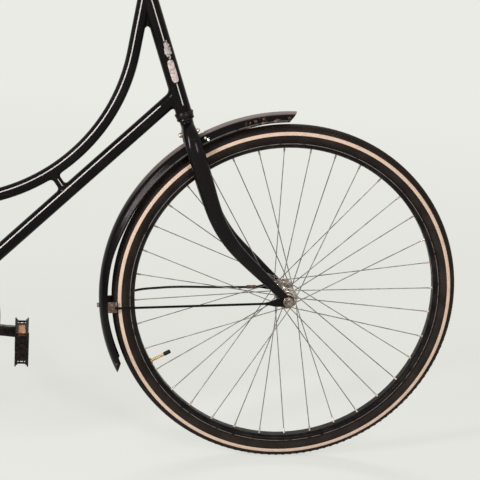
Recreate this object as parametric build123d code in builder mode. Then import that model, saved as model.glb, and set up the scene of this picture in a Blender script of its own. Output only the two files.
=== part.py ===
from build123d import *
from math import atan2, cos, degrees, hypot, radians, sin, sqrt, tan
import os

os.makedirs("parts", exist_ok=True)

# A step-through roadster bicycle on its stand. Millimetres, +X forward, +Y left, +Z up.
# The origin is on the floor, midway between the front of the front tyre and the back of the
# rear mudguard, in the plane of the wheels.

# Wheels
tyre_radius = 348.0
tyre_height = 34.5
tyre_width = 37.0
tyre_casing = 3.5
rim_depth = 11.5
rim_width = 31.0
rim_wall = 2.0
rim_bed_width = 18.0
bead_clearance = 0.3
spoke_count = 36
spoke_crossings = 3
spoke_radius = 1.0
spoke_phase = 3.7
spoke_embed = 1.2
valve_angle = -150.5
valve_radius = 3.2
valve_cap_radius = 4.2
valve_length = 44.0
valve_cap_length = 15.0
running_clearance = 0.05
face_clearance = 0.3

# Where the wheels stand, before and behind the bottom bracket
bottom_bracket_setback = 692.0
chainstay_span = 468.0
rear_wheel_lift = 32.0

# Front hub and axle
front_axle_radius = 4.5
front_hub_width = 100.0
front_flange_radius = 22.0
front_flange_offset = 32.5
front_flange_thickness = 3.0
front_barrel_radius = 10.0
front_hub_end_radius = 14.0
front_hub_shell_width = 84.0
cone_radius = 8.0
washer_radius = 10.5
washer_thickness = 1.6
nut_width = 15.0
nut_height = 8.0
axle_end = 3.0

# Rear hub and axle
rear_axle_radius = 4.8
rear_hub_width = 120.0
rear_flange_radius = 34.0
rear_flange_offset = 31.0
rear_flange_thickness = 3.5
rear_barrel_radius = 22.0
rear_hub_end_radius = 27.0
rear_hub_shell_width = 92.0

# Steering line
head_angle = 70.76
fork_rake = 90.1
neck_dip = 5.0
neck_radius = 13.5
neck_height = 34.0
race_height = 5.0
race_radius = 17.5
cup_height = 12.0
cup_radius = 18.8
head_tube_length = 282.0
head_tube_radius = 15.9
head_tube_bore = 14.3
upper_race_height = 8.0
locknut_height = 9.0
locknut_width = 32.0
steerer_radius = 12.7
steerer_bore = 11.15

# Fork
blade_spread_top = 39.5
blade_half_depth = 17.0
blade_half_width = 12.5
blade_tip_half_depth = 8.5
blade_tip_half_width = 6.0
blade_bend_radius = 265.0
blade_bend_corner = 167.7
fork_end_radius = 12.5
fork_end_thickness = 6.0
crown_bolt_radius = 3.0
crown_bolt_rise = 6.6
crown_bolt_reach = 19.5
crown_bolt_head_radius = 5.0
crown_bolt_head_height = 4.0

# Mudguards
guard_gap = 25.0
guard_depth = 15.5
guard_half_width = 25.0
guard_wall = 1.2
front_guard_start = 90.7
front_guard_end = 208.0
front_guard_nose_slope = 52.0
rear_guard_start = -10.0
rear_guard_end = 209.0
stay_wire_radius = 2.4
stay_tab_thickness = 2.5
stay_tab_radius = 9.0
stay_tab_length = 21.0
front_stay_angle = 185.0
front_stay_attach_depth = 11.5
front_stay_attach_offset = 28.5
rear_stay_angle = 168.0
bracket_arc = 4.0
bracket_wall = 1.6
bracket_lap = 8.0
bracket_width = 22.0
bracket_bolt_radius = 3.5

# Frame tubes
down_tube_radius = 14.3
down_tube_wall = 1.6
down_tube_slope = 44.3
down_tube_head_rise = 35.5
top_tube_radius = 12.7
top_tube_wall = 1.5
top_tube_head_drop = 31.3
top_tube_upper_lean = 8.5
top_tube_bend_radius = 358.0
top_tube_lower_lean = 75.0
top_tube_upper_run = 126.0
strut_radius = 8.0
strut_lean = 55.0
seat_tube_radius = 14.3
seat_tube_wall = 1.6
seat_tube_angle = 68.0
seat_tube_length = 530.0
seat_lug_radius = 17.5
seat_lug_length = 34.0
shell_radius = 20.0
shell_width = 68.0
shell_cavity_radius = 16.0
cup_bearing_width = 10.0
chainstay_radius = 9.0
chainstay_root_offset = 24.0
chainstay_bend_distance = 78.0
chainstay_bend_offset = 37.5
chainstay_bend_radius = 120.0
bridge_radius = 7.0
seatstay_radius = 8.0
seatstay_top_offset = 22.5
seatstay_bend_distance = 400.0
seatstay_bend_offset = 42.0
seatstay_bend_radius = 120.0
seatstay_top_station = 505.0
dropout_thickness = 5.0
dropout_radius = 17.0
dropout_tongue = 42.0
dropout_tongue_width = 12.0
stay_end_distance = 24.0

# Chaincase
case_front_radius = 127.0
case_rear_radius = 62.0
case_depth = 40.0
case_wall = 1.2
case_edge = 4.0
case_crank_opening = 27.0
case_stay_clearance = 3.0
case_hub_opening = 46.0

# Cranks and pedals
spindle_radius = 8.0
crank_length = 169.1
crank_angle = -4.54
crank_inner_face = 88.0
crank_thickness = 14.0
crank_boss_radius = 17.0
crank_eye_radius = 13.0
crank_root_width = 26.0
crank_tip_width = 20.0
cotter_radius = 4.5
cotter_reach = 22.0
cotter_offset = 10.0
pedal_axle_radius = 5.0
pedal_collar_radius = 9.0
pedal_collar_height = 5.0
pedal_width = 92.0
pedal_block_depth = 28.0
pedal_block_height = 22.0
pedal_half_length = 33.0
pedal_plate = 3.0
pedal_core_radius = 10.0
reflector_width = 50.0
reflector_height = 14.0
reflector_thickness = 3.0

# Seat
post_radius = 12.65
post_exposed = 112.0
post_insert = 70.0
saddle_length = 268.0
saddle_rear_width = 212.0
saddle_nose_width = 46.0
saddle_thickness = 44.0
saddle_setback = 6.0
saddle_rail_radius = 3.5
saddle_rail_spread = 22.0
saddle_lift = 42.0
saddle_spring_radius = 17.0
saddle_spring_wire = 3.0
saddle_spring_turns = 5
saddle_spring_offset = 58.0
clamp_radius = 15.0
clamp_width = 52.0

# Stem and bar
quill_radius = 11.1
quill_insert = 90.6
stem_rise = 61.4
stem_reach = 52.0
stem_arm_radius = 11.0
stem_clamp_radius = 17.0
stem_clamp_width = 40.0
bar_radius = 11.0
bar_sleeve_radius = 12.7
bar_sleeve_width = 62.0
bar_half_width = 306.0
bar_sweep = 262.0
bar_rise = 60.0
bar_fit_clearance = 0.05
grip_radius = 15.5
grip_length = 125.0
grip_cap = 4.0

# Rear rack
rack_clearance = 31.0
rack_front_gap = 12.0
rack_overhang = 178.0
rack_corner = 24.0
rack_half_width = 60.0
rack_tube_radius = 5.0
rack_strip_width = 16.0
rack_strip_thickness = 3.0
rack_leg_radius = 4.0
rack_leg_setback = 80.0
rack_tab_thickness = 2.5
rack_tab_length = 22.0
rear_light_radius = 19.0
rear_light_depth = 9.0
rear_light_angle = 154.0
rear_light_stem_radius = 4.0

# Coaster brake arm
brake_arm_length = 158.0
brake_arm_width = 16.0
brake_arm_thickness = 3.0
brake_arm_drop = 19.5
brake_clip_width = 14.0
brake_clip_wall = 1.6

# Stand
stand_reach = 387.0
stand_foot_ahead = 106.0
stand_tab_thickness = 6.0
stand_tab_radius = 15.0
stand_leg_radius = 7.0
stand_bar_radius = 6.5
stand_foot_spread = 128.0
stand_foot_length = 30.0
axle_spacer_radius = 9.0
axle_spacer_length = 11.0

# Derived sizes
rim_edge_radius = tyre_radius - tyre_height
rim_inner_radius = rim_edge_radius - rim_depth
guard_crest_radius = tyre_radius + guard_gap
guard_edge_radius = guard_crest_radius - guard_depth
neck_bottom = guard_crest_radius - neck_dip
race_bottom = neck_bottom + neck_height
crown_bolt_height = neck_bottom + crown_bolt_rise
front_stay_attach_radius = guard_edge_radius - front_stay_attach_depth
wheelbase = bottom_bracket_setback + chainstay_span
rack_height = tyre_radius + rear_wheel_lift + guard_crest_radius + rack_clearance

# Derived places
front_x = (wheelbase - tyre_radius + guard_crest_radius) / 2
front_axle = Vector(front_x, 0, tyre_radius)
rear_axle = Vector(front_x - wheelbase, 0, tyre_radius + rear_wheel_lift)
head_cos = cos(radians(head_angle))
head_sin = sin(radians(head_angle))
steer_up = Vector(-head_cos, 0, head_sin)
steer_fore = Vector(head_sin, 0, head_cos)
steer_foot = front_axle - steer_fore * fork_rake
left = Vector(0, 1, 0)


def steering_point(fore, side, up):
    return steer_foot + steer_fore * fore + left * side + steer_up * up


def side_plane(y=0.0):
    return Plane(origin=(0, y, 0), x_dir=(1, 0, 0), z_dir=(0, -1, 0))


def around(axle, radius, angle, y=0.0):
    """The point at a radius and an angle above +X about an axle."""
    turn = radians(angle)
    return Vector(axle.X + radius * cos(turn), y, axle.Z + radius * sin(turn))


def turned(centre, direction, profile):
    """A solid of revolution; the profile lists (along the axis, radius)."""
    side = Vector(0, 1, 0) if abs(direction.Y) < 0.5 else Vector(1, 0, 0)
    radial = direction.cross(side).normalized()
    with BuildPart() as body:
        with BuildSketch(Plane(origin=centre, x_dir=direction, z_dir=direction.cross(radial))):
            with BuildLine():
                Polyline(*profile, close=True)
            make_face()
        revolve(axis=Axis(centre, direction))
    return body.part


def rod(points, radius, bends=None, bore=0.0):
    """A round bar or tube along straight runs joined by tangent arcs."""
    with BuildPart() as body:
        with BuildLine() as path:
            if len(points) == 2:
                Line(*points)
            else:
                FilletPolyline(*points, radius=bends)
        with BuildSketch(Plane(origin=path.line @ 0, z_dir=path.line % 0)):
            Circle(radius)
            if bore > 0:
                Circle(bore, mode=Mode.SUBTRACT)
        sweep()
    return body.part


# Steering stations, measured up the steering line from the foot of the rake
race_top = race_bottom + race_height
cup_bottom = race_top + face_clearance
head_bottom = cup_bottom + cup_height
head_top = head_bottom + head_tube_length
upper_cup_top = head_top + cup_height
upper_race_bottom = upper_cup_top + face_clearance
upper_race_top = upper_race_bottom + upper_race_height
locknut_top = upper_race_top + locknut_height

# Bottom bracket, on the line of the down tube
down_cos = cos(radians(down_tube_slope))
down_sin = sin(radians(down_tube_slope))
down_dir = Vector(-down_cos, 0, -down_sin)
down_start = steering_point(0, 0, head_bottom + down_tube_head_rise)
bracket_x = front_axle.X - bottom_bracket_setback
down_length = (down_start.X - bracket_x) / down_cos
bracket_axle = down_start + down_dir * down_length

# Seat tube
seat_dir = Vector(-cos(radians(seat_tube_angle)), 0, sin(radians(seat_tube_angle)))
seat_tube_top = bracket_axle + seat_dir * seat_tube_length


def cut_cylinder(start, direction, length, radius):
    """Takes a cylinder away from the piece being made."""
    with BuildSketch(Plane(origin=start, z_dir=direction)) as section:
        Circle(radius)
    extrude(section.sketch, amount=length, mode=Mode.SUBTRACT)


with BuildPart() as head_tube:
    with BuildSketch(Plane(origin=steering_point(0, 0, head_bottom), z_dir=steer_up)):
        Circle(head_tube_radius)
        Circle(head_tube_bore, mode=Mode.SUBTRACT)
    extrude(amount=head_tube_length)


def headset_cup(station, outward):
    """A cup seated on an end of the head tube, running on the steerer."""
    inner = steerer_radius + running_clearance
    profile = [
        (0, inner),
        (0, head_tube_radius),
        (outward * cup_height * 0.35, cup_radius),
        (outward * cup_height, cup_radius),
        (outward * cup_height, inner),
    ]
    return turned(steering_point(0, 0, station), steer_up, profile)


with BuildPart() as headset_lower:
    add(headset_cup(head_bottom, -1))

with BuildPart() as headset_upper:
    add(headset_cup(head_top, 1))

with BuildPart() as down_tube:
    with BuildSketch(Plane(origin=down_start, z_dir=down_dir)):
        Circle(down_tube_radius)
        Circle(down_tube_radius - down_tube_wall, mode=Mode.SUBTRACT)
    extrude(amount=down_length)
    cut_cylinder(steering_point(0, 0, head_bottom - cup_height), steer_up,
                 head_tube_length, head_tube_radius)
    cut_cylinder(bracket_axle - left * shell_width, left, shell_width * 2, shell_radius)

# The top tube drops from the head, bends back and runs to the seat tube
top_start = steering_point(0, 0, head_top - top_tube_head_drop)
upper_dir = Vector(-sin(radians(top_tube_upper_lean)), 0, -cos(radians(top_tube_upper_lean)))
lower_dir = Vector(-sin(radians(top_tube_lower_lean)), 0, -cos(radians(top_tube_lower_lean)))
half_turn = radians(top_tube_lower_lean - top_tube_upper_lean) / 2
bend_tangent = top_tube_bend_radius * tan(half_turn)
top_corner = top_start + upper_dir * (top_tube_upper_run + bend_tangent)
to_seat = top_corner - bracket_axle
reach = (seat_dir.X * to_seat.Z - seat_dir.Z * to_seat.X) / (
    seat_dir.Z * lower_dir.X - seat_dir.X * lower_dir.Z
)
top_end = top_corner + lower_dir * reach
bend_start = top_start + upper_dir * top_tube_upper_run
bend_centre = bend_start + Vector(upper_dir.Z, 0, -upper_dir.X) * top_tube_bend_radius


def bend_point(lean):
    """A point on the bend of the top tube, by the tube's lean there from the vertical."""
    outward = Vector(cos(radians(lean)), 0, -sin(radians(lean)))
    return bend_centre + outward * top_tube_bend_radius


strut_top = bend_point(strut_lean)
strut_dir = Vector(cos(radians(strut_lean)), 0, -sin(radians(strut_lean)))
strut_run = ((strut_top - down_start).X * down_dir.Z - (strut_top - down_start).Z * down_dir.X) / (
    strut_dir.Z * down_dir.X - strut_dir.X * down_dir.Z
)

top_core = rod([top_start, top_corner, top_end], top_tube_radius, top_tube_bend_radius)
strut_core = rod([strut_top, strut_top + strut_dir * strut_run], strut_radius)

with BuildPart() as top_tube:
    add(strut_core)
    add(top_core)
    add(rod([top_start, top_corner, top_end], top_tube_radius - top_tube_wall,
            top_tube_bend_radius), mode=Mode.SUBTRACT)
    cut_cylinder(steering_point(0, 0, head_bottom), steer_up, head_tube_length * 1.2,
                 head_tube_radius)
    cut_cylinder(down_start, down_dir, down_length, down_tube_radius)
    cut_cylinder(bracket_axle, seat_dir, seat_tube_length, seat_tube_radius)

with BuildPart() as seat_tube:
    with BuildSketch(Plane(origin=bracket_axle, z_dir=seat_dir)):
        Circle(seat_tube_radius)
    extrude(amount=seat_tube_length)
    with BuildSketch(Plane(origin=seat_tube_top - seat_dir * seat_lug_length, z_dir=seat_dir)):
        Circle(seat_lug_radius)
    extrude(amount=seat_lug_length)
    cut_cylinder(bracket_axle, seat_dir, seat_tube_length, seat_tube_radius - seat_tube_wall)
    cut_cylinder(bracket_axle - left * shell_width, left, shell_width * 2, shell_radius)
    cut_cylinder(down_start, down_dir, down_length, down_tube_radius)

with BuildPart() as bottom_bracket_shell:
    with BuildSketch(side_plane(shell_width / 2)):
        with Locations((bracket_axle.X, bracket_axle.Z)):
            Circle(shell_radius)
    extrude(amount=shell_width)
    cut_cylinder(bracket_axle - left * (shell_width / 2 - cup_bearing_width), left,
                 shell_width - 2 * cup_bearing_width, shell_cavity_radius)
    cut_cylinder(bracket_axle - left * shell_width, left, shell_width * 2,
                 spindle_radius + running_clearance)

# Rear triangle
to_rear = rear_axle - bracket_axle
chainstay_length = to_rear.length
chainstay_dir = to_rear.normalized()
seatstay_top = bracket_axle + seat_dir * seatstay_top_station
to_seat_lug = seatstay_top - rear_axle
seatstay_length = to_seat_lug.length
seatstay_dir = to_seat_lug.normalized()
dropout_middle = rear_hub_width / 2 + dropout_thickness / 2
bridge_distance = guard_crest_radius + bridge_radius + bead_clearance


def draw_dropout():
    """A round end with a tongue along each stay."""
    with Locations((rear_axle.X, rear_axle.Z)):
        Circle(dropout_radius)
    for heading in (-chainstay_dir, seatstay_dir):
        middle = rear_axle + heading * (dropout_tongue / 2)
        with Locations(Location((middle.X, middle.Z), degrees(atan2(heading.Z, heading.X)))):
            Rectangle(dropout_tongue, dropout_tongue_width)


chainstay_run = chainstay_length - chainstay_bend_distance
chainstay_half = rod(
    [
        bracket_axle + left * chainstay_root_offset,
        bracket_axle + chainstay_dir * chainstay_bend_distance + left * chainstay_bend_offset,
        rear_axle - chainstay_dir * stay_end_distance + left * dropout_middle,
    ],
    chainstay_radius,
    chainstay_bend_radius,
)

with BuildPart() as chainstays:
    add(chainstay_half)
    with BuildSketch(side_plane(rear_hub_width / 2 + dropout_thickness)):
        draw_dropout()
    extrude(amount=dropout_thickness)
    mirror(about=Plane.XZ)
    bridge_middle = rear_axle - chainstay_dir * bridge_distance
    with BuildSketch(side_plane(chainstay_bend_offset)):
        with Locations((bridge_middle.X, bridge_middle.Z)):
            Circle(bridge_radius)
    extrude(amount=chainstay_bend_offset * 2)
    cut_cylinder(bracket_axle - left * shell_width, left, shell_width * 2, shell_radius)
    cut_cylinder(rear_axle - left * rear_hub_width, left, rear_hub_width * 2, rear_axle_radius)

seatstay_half = rod(
    [
        seatstay_top + left * seatstay_top_offset,
        rear_axle + seatstay_dir * seatstay_bend_distance + left * seatstay_bend_offset,
        rear_axle + seatstay_dir * stay_end_distance + left * dropout_middle,
    ],
    seatstay_radius,
    seatstay_bend_radius,
)

with BuildPart() as seatstays:
    add(seatstay_half)
    with BuildSketch(side_plane(rear_hub_width / 2 + dropout_thickness)):
        draw_dropout()
    extrude(amount=dropout_thickness, mode=Mode.SUBTRACT)
    mirror(about=Plane.XZ)
    bridge_middle = rear_axle + seatstay_dir * bridge_distance
    with BuildSketch(side_plane(seatstay_bend_offset)):
        with Locations((bridge_middle.X, bridge_middle.Z)):
            Circle(bridge_radius)
    extrude(amount=seatstay_bend_offset * 2)
    cut_cylinder(bracket_axle, seat_dir, seat_tube_length, seat_lug_radius)

# Seat post and saddle
post_top = seat_tube_top + seat_dir * post_exposed
saddle_base = post_top.Z + saddle_lift

saddle_rear_x = post_top.X - saddle_length / 2 - saddle_setback
saddle_front_x = saddle_rear_x + saddle_length

with BuildPart() as saddle_top:
    with BuildSketch(Plane.XY.offset(saddle_base)):
        with BuildLine():
            outline = [
                (saddle_front_x, saddle_nose_width * 0.42),
                (saddle_front_x - saddle_length * 0.42, saddle_nose_width * 0.62),
                (saddle_rear_x + saddle_length * 0.3, saddle_rear_width / 2),
                (saddle_rear_x, saddle_rear_width * 0.4),
            ]
            FilletPolyline(*outline, *[(x, -y) for x, y in reversed(outline)],
                           radius=saddle_nose_width * 0.38, close=True)
        make_face()
    extrude(amount=saddle_thickness)
    fillet(saddle_top.faces().sort_by(Axis.Z)[-1].edges(), radius=saddle_thickness * 0.3)

spring_x = saddle_rear_x + saddle_length * 0.16
rail_z = post_top.Z
spring_plate = 2 * saddle_rail_radius + 2
spring_height = saddle_base - rail_z - spring_plate / 2 - bead_clearance


def coil_profile(height):
    """A stack of round turns, as a wavy outline round the coil's middle line."""
    inner = saddle_spring_radius - 2 * saddle_spring_wire
    pitch = height / saddle_spring_turns
    outline = [(0, inner)]
    for turn in range(saddle_spring_turns):
        outline.append((pitch * turn, saddle_spring_radius - saddle_spring_wire * 0.6))
        outline.append((pitch * (turn + 0.5), saddle_spring_radius))
    outline.append((height, saddle_spring_radius - saddle_spring_wire * 0.6))
    outline.append((height, inner))
    return outline


with BuildPart() as saddle_frame:
    rail = rod(
        [
            Vector(saddle_front_x - saddle_length * 0.12, 9.0, saddle_base - saddle_rail_radius),
            Vector(post_top.X + saddle_length * 0.16, saddle_rail_spread, rail_z),
            Vector(post_top.X - saddle_length * 0.16, saddle_rail_spread, rail_z),
            Vector(spring_x, saddle_spring_offset, rail_z),
        ],
        saddle_rail_radius,
        saddle_rail_spread,
    )
    add(rail)
    spring_base = Vector(spring_x, saddle_spring_offset, rail_z + spring_plate / 2)
    add(turned(spring_base, Vector(0, 0, 1), coil_profile(spring_height)))
    with BuildSketch(Plane.XY.offset(rail_z - spring_plate / 2)):
        with Locations((spring_x, saddle_spring_offset)):
            Circle(saddle_spring_radius)
    extrude(amount=spring_plate)
    mirror(about=Plane.XZ)

with BuildPart() as seat_post:
    with BuildSketch(Plane(origin=seat_tube_top - seat_dir * post_insert, z_dir=seat_dir)):
        Circle(post_radius)
    extrude(amount=post_insert + post_exposed)
    with BuildSketch(side_plane(clamp_width / 2)):
        with Locations((post_top.X, post_top.Z)):
            Circle(clamp_radius)
    extrude(amount=clamp_width)
    add(saddle_frame.part, mode=Mode.SUBTRACT)

# Rear mudguard, its stays and the reflector on it


def guard_section(inset=0.0, wall=guard_wall):
    """The mudguard's curved section, as (across, radius) arcs in the sketch of a wheel."""
    half = guard_half_width - inset
    crest = guard_crest_radius - inset
    edge = guard_edge_radius
    inner_half = half - wall
    with BuildLine() as outline:
        outer = ThreePointArc((-half, edge), (0, crest), (half, edge))
        Line(outer @ 1, (inner_half, edge))
        inner = ThreePointArc((inner_half, edge), (0, crest - wall), (-inner_half, edge))
        Line(inner @ 1, outer @ 0)
    make_face(outline.edges())


def mudguard(axle, start, end):
    """A mudguard about an axle, from one angle to another, by turning its section."""
    with BuildPart() as guard:
        middle = radians(start)
        radial = Vector(cos(middle), 0, sin(middle))
        with BuildSketch(Plane(origin=axle, x_dir=left, z_dir=left.cross(radial))):
            guard_section()
        revolve(axis=Axis(axle, -left), revolution_arc=end - start)
    return guard.part


with BuildPart() as rear_mudguard:
    add(mudguard(rear_axle, rear_guard_start, rear_guard_end))

with BuildPart() as front_mudguard:
    add(mudguard(front_axle, front_guard_start, front_guard_end))
    nose = around(front_axle, guard_crest_radius, front_guard_start)
    slope = radians(front_guard_nose_slope)
    with BuildSketch(side_plane()):
        with BuildLine():
            depth = 1.6 * guard_depth
            Polyline(
                (nose.X, nose.Z + guard_wall),
                (nose.X + depth * 2, nose.Z + guard_wall),
                (nose.X + depth * 2, nose.Z - depth),
                (nose.X - depth / tan(slope), nose.Z - depth),
                close=True,
            )
        make_face()
    extrude(amount=guard_half_width * 2, both=True, mode=Mode.SUBTRACT)
    tail = around(front_axle, guard_crest_radius, front_guard_end)
    with BuildSketch(side_plane()):
        with Locations((tail.X + guard_crest_radius / 4, tail.Z)):
            Rectangle(guard_crest_radius / 2, guard_crest_radius / 2)
    extrude(amount=guard_half_width * 2, both=True, mode=Mode.SUBTRACT)

stay_face = rear_hub_width / 2 + dropout_thickness + axle_spacer_length
rack_face = stay_face + stay_tab_thickness
stand_face = rack_face + rack_tab_thickness + face_clearance


def stay_wire(axle, face, angle, straight, attach_radius, attach_offset):
    """A wire stay on the left, from an eye on the axle to the mudguard's edge."""
    tab_middle = face + stay_tab_thickness / 2
    start = around(axle, stay_tab_length - 2 * stay_wire_radius, angle, tab_middle)
    bend = around(axle, straight, angle, tab_middle)
    finish = around(axle, attach_radius, angle, attach_offset)
    with BuildPart() as stay:
        add(rod([start, bend, finish], stay_wire_radius, straight - stay_tab_length))
        tab = Plane(
            origin=(axle.X, face, axle.Z),
            x_dir=(cos(radians(angle)), 0, sin(radians(angle))),
            z_dir=left,
        )
        with BuildSketch(tab) as eye:
            Circle(stay_tab_radius)
            with Locations((stay_tab_length / 2, 0)):
                Rectangle(stay_tab_length, 2.4 * stay_wire_radius)
        extrude(eye.sketch, amount=stay_tab_thickness)
    return stay.part


rear_stay_attach = guard_edge_radius + 4.0
with BuildPart() as rear_mudguard_stays:
    add(stay_wire(rear_axle, stay_face, rear_stay_angle, case_rear_radius + 12,
                  rear_stay_attach, guard_half_width + stay_wire_radius))
    add(rod(
        [
            around(rear_axle, rear_stay_attach - 8, rear_stay_angle, guard_half_width + 2),
            around(rear_axle, rear_stay_attach + 5, rear_stay_angle, guard_half_width - 1),
        ],
        stay_wire_radius,
    ))
    mirror(about=Plane.XZ)
    cut_cylinder(rear_axle - left * rear_hub_width, left, rear_hub_width * 2, rear_axle_radius)
    add(rear_mudguard.part, mode=Mode.SUBTRACT)

light_middle = around(rear_axle, guard_crest_radius, rear_light_angle)
light_face_x = rear_axle.X - sqrt(
    guard_crest_radius**2 - (light_middle.Z - rear_axle.Z - rear_light_radius)**2
) - 1.0
with BuildPart() as rear_reflector:
    with BuildSketch(Plane(origin=(light_face_x, 0, light_middle.Z), z_dir=(-1, 0, 0))):
        Circle(rear_light_radius)
    extrude(amount=rear_light_depth)
    fillet(rear_reflector.faces().sort_by(Axis.X)[0].edges(), radius=2.0)
    with BuildSketch(Plane(origin=(light_face_x, 0, light_middle.Z), z_dir=(1, 0, 0))):
        Circle(rear_light_stem_radius)
    extrude(amount=light_middle.X - light_face_x + 8)
    add(rear_mudguard.part, mode=Mode.SUBTRACT)
    cut_cylinder(rear_axle - left * guard_half_width, left, 2 * guard_half_width,
                 guard_crest_radius - guard_wall)

# Chaincase on the right
case_inner = shell_width / 2
case_outer = case_inner + case_depth


def draw_case(inset=0.0):
    with Locations((bracket_axle.X, bracket_axle.Z)):
        Circle(case_front_radius - inset)
    with Locations((rear_axle.X, rear_axle.Z)):
        Circle(case_rear_radius - inset)
    make_hull()


with BuildPart() as chaincase:
    with BuildSketch(side_plane(-case_inner)):
        draw_case()
    extrude(amount=case_depth)
    with BuildSketch(side_plane(-case_inner - case_wall)):
        draw_case(case_wall)
    extrude(amount=case_depth - 2 * case_wall, mode=Mode.SUBTRACT)
    with BuildSketch(side_plane(-case_inner + 1)):
        with Locations((bracket_axle.X, bracket_axle.Z)):
            Circle(shell_cavity_radius)
        slot_length = chainstay_length - shell_cavity_radius * 0.5
        slot_middle = rear_axle - chainstay_dir * (slot_length / 2)
        slot_turn = degrees(atan2(chainstay_dir.Z, chainstay_dir.X))
        with Locations(Location((slot_middle.X, slot_middle.Z), slot_turn)):
            Rectangle(slot_length, 2 * (chainstay_radius + case_stay_clearance))
        with Locations((rear_axle.X, rear_axle.Z)):
            Circle(case_hub_opening)
    extrude(amount=case_wall + 2, mode=Mode.SUBTRACT)
    with BuildSketch(side_plane(-case_inner + 1)):
        notch_middle = rear_axle + seatstay_dir * (case_rear_radius)
        notch_turn = degrees(atan2(seatstay_dir.Z, seatstay_dir.X))
        with Locations(Location((notch_middle.X, notch_middle.Z), notch_turn)):
            Rectangle(case_rear_radius, 2 * (seatstay_radius + case_stay_clearance))
    extrude(amount=case_depth + 1 - case_edge, mode=Mode.SUBTRACT)
    cut_cylinder(bracket_axle - left * (case_outer + 10), left, 20, case_crank_opening)
    cut_cylinder(rear_axle - left * (case_outer + 10), left, 20,
                 axle_spacer_radius + running_clearance)

# Rear axle with its cones, spacers, washers and nuts


def hexagon_nut(centre, width, height, direction):
    with BuildPart() as nut:
        with BuildSketch(Plane(origin=centre, z_dir=direction)):
            RegularPolygon(radius=width / 2, side_count=6, major_radius=False)
        extrude(amount=height)
    return nut.part


stand_outer = stand_face + stand_tab_thickness + face_clearance
rear_nut_face = stand_outer + washer_thickness
rear_axle_half = rear_nut_face + nut_height + axle_end

with BuildPart() as rear_axle_set:
    with BuildSketch(side_plane(rear_axle_half)):
        with Locations((rear_axle.X, rear_axle.Z)):
            Circle(rear_axle_radius)
    extrude(amount=2 * rear_axle_half)
    for near, far, radius in (
        (rear_hub_shell_width / 2 + face_clearance, rear_hub_width / 2, cone_radius),
        (rear_hub_width / 2 + dropout_thickness, stay_face, axle_spacer_radius),
        (stand_outer, rear_nut_face, washer_radius),
    ):
        for hand in (1, -1):
            with BuildSketch(Plane(origin=rear_axle + left * near * hand, z_dir=left * hand)):
                Circle(radius)
            extrude(amount=far - near)
    for hand in (1, -1):
        add(hexagon_nut(rear_axle + left * rear_nut_face * hand, nut_width, nut_height,
                        left * hand))

# Coaster brake arm on the left, under the chainstay
arm_inner = rear_hub_width / 2 - brake_arm_thickness - face_clearance
clip_offset = dropout_middle - (dropout_middle - chainstay_bend_offset) * (
    (brake_arm_length - stay_end_distance) / (chainstay_run - stay_end_distance)
)
clip_middle = rear_axle - chainstay_dir * brake_arm_length
below = Vector(chainstay_dir.Z, 0, -chainstay_dir.X)
if below.Z > 0:
    below = below * -1
arm_end = clip_middle + below * brake_arm_drop
arm_dir = (arm_end - rear_axle).normalized()
arm_span = (arm_end - rear_axle).length

with BuildPart() as brake_arm:
    with BuildSketch(side_plane(arm_inner + brake_arm_thickness)):
        middle = rear_axle + arm_dir * (arm_span / 2)
        with Locations(Location((middle.X, middle.Z), degrees(atan2(arm_dir.Z, arm_dir.X)))):
            SlotOverall(arm_span + brake_arm_width, brake_arm_width)
        with Locations((rear_axle.X, rear_axle.Z)):
            Circle(brake_arm_width)
            Circle(cone_radius, mode=Mode.SUBTRACT)
    extrude(amount=brake_arm_thickness)
    clip_centre = Vector(clip_middle.X, clip_offset, clip_middle.Z)
    clip_start = clip_centre - chainstay_dir * (brake_clip_width / 2)
    with BuildSketch(Plane(origin=clip_start, z_dir=chainstay_dir)):
        Circle(chainstay_radius + 1.2 + brake_clip_wall)
    extrude(amount=brake_clip_width)
    lug_top = clip_centre + below * (chainstay_radius + 1)
    with Locations(Location(lug_top + below * (brake_arm_drop - chainstay_radius) / 2)):
        Box(brake_clip_width, (arm_inner + brake_arm_thickness - clip_offset) * 2,
            brake_arm_drop - chainstay_radius + 4)
    add(rod([bracket_axle + chainstay_dir * chainstay_bend_distance + left
             * chainstay_bend_offset,
             rear_axle - chainstay_dir * stay_end_distance + left * dropout_middle],
            chainstay_radius + 0.8), mode=Mode.SUBTRACT)

# Rear rack
rack_z = rack_height - rack_strip_thickness - rack_tube_radius
seat_line_x = bracket_axle.X + seat_dir.X / seat_dir.Z * (rack_z - bracket_axle.Z)
rack_front_x = seat_line_x - seat_lug_radius - rack_front_gap
rack_rear_x = rear_axle.X - rack_overhang
rack_length = rack_front_x - rack_rear_x

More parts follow.
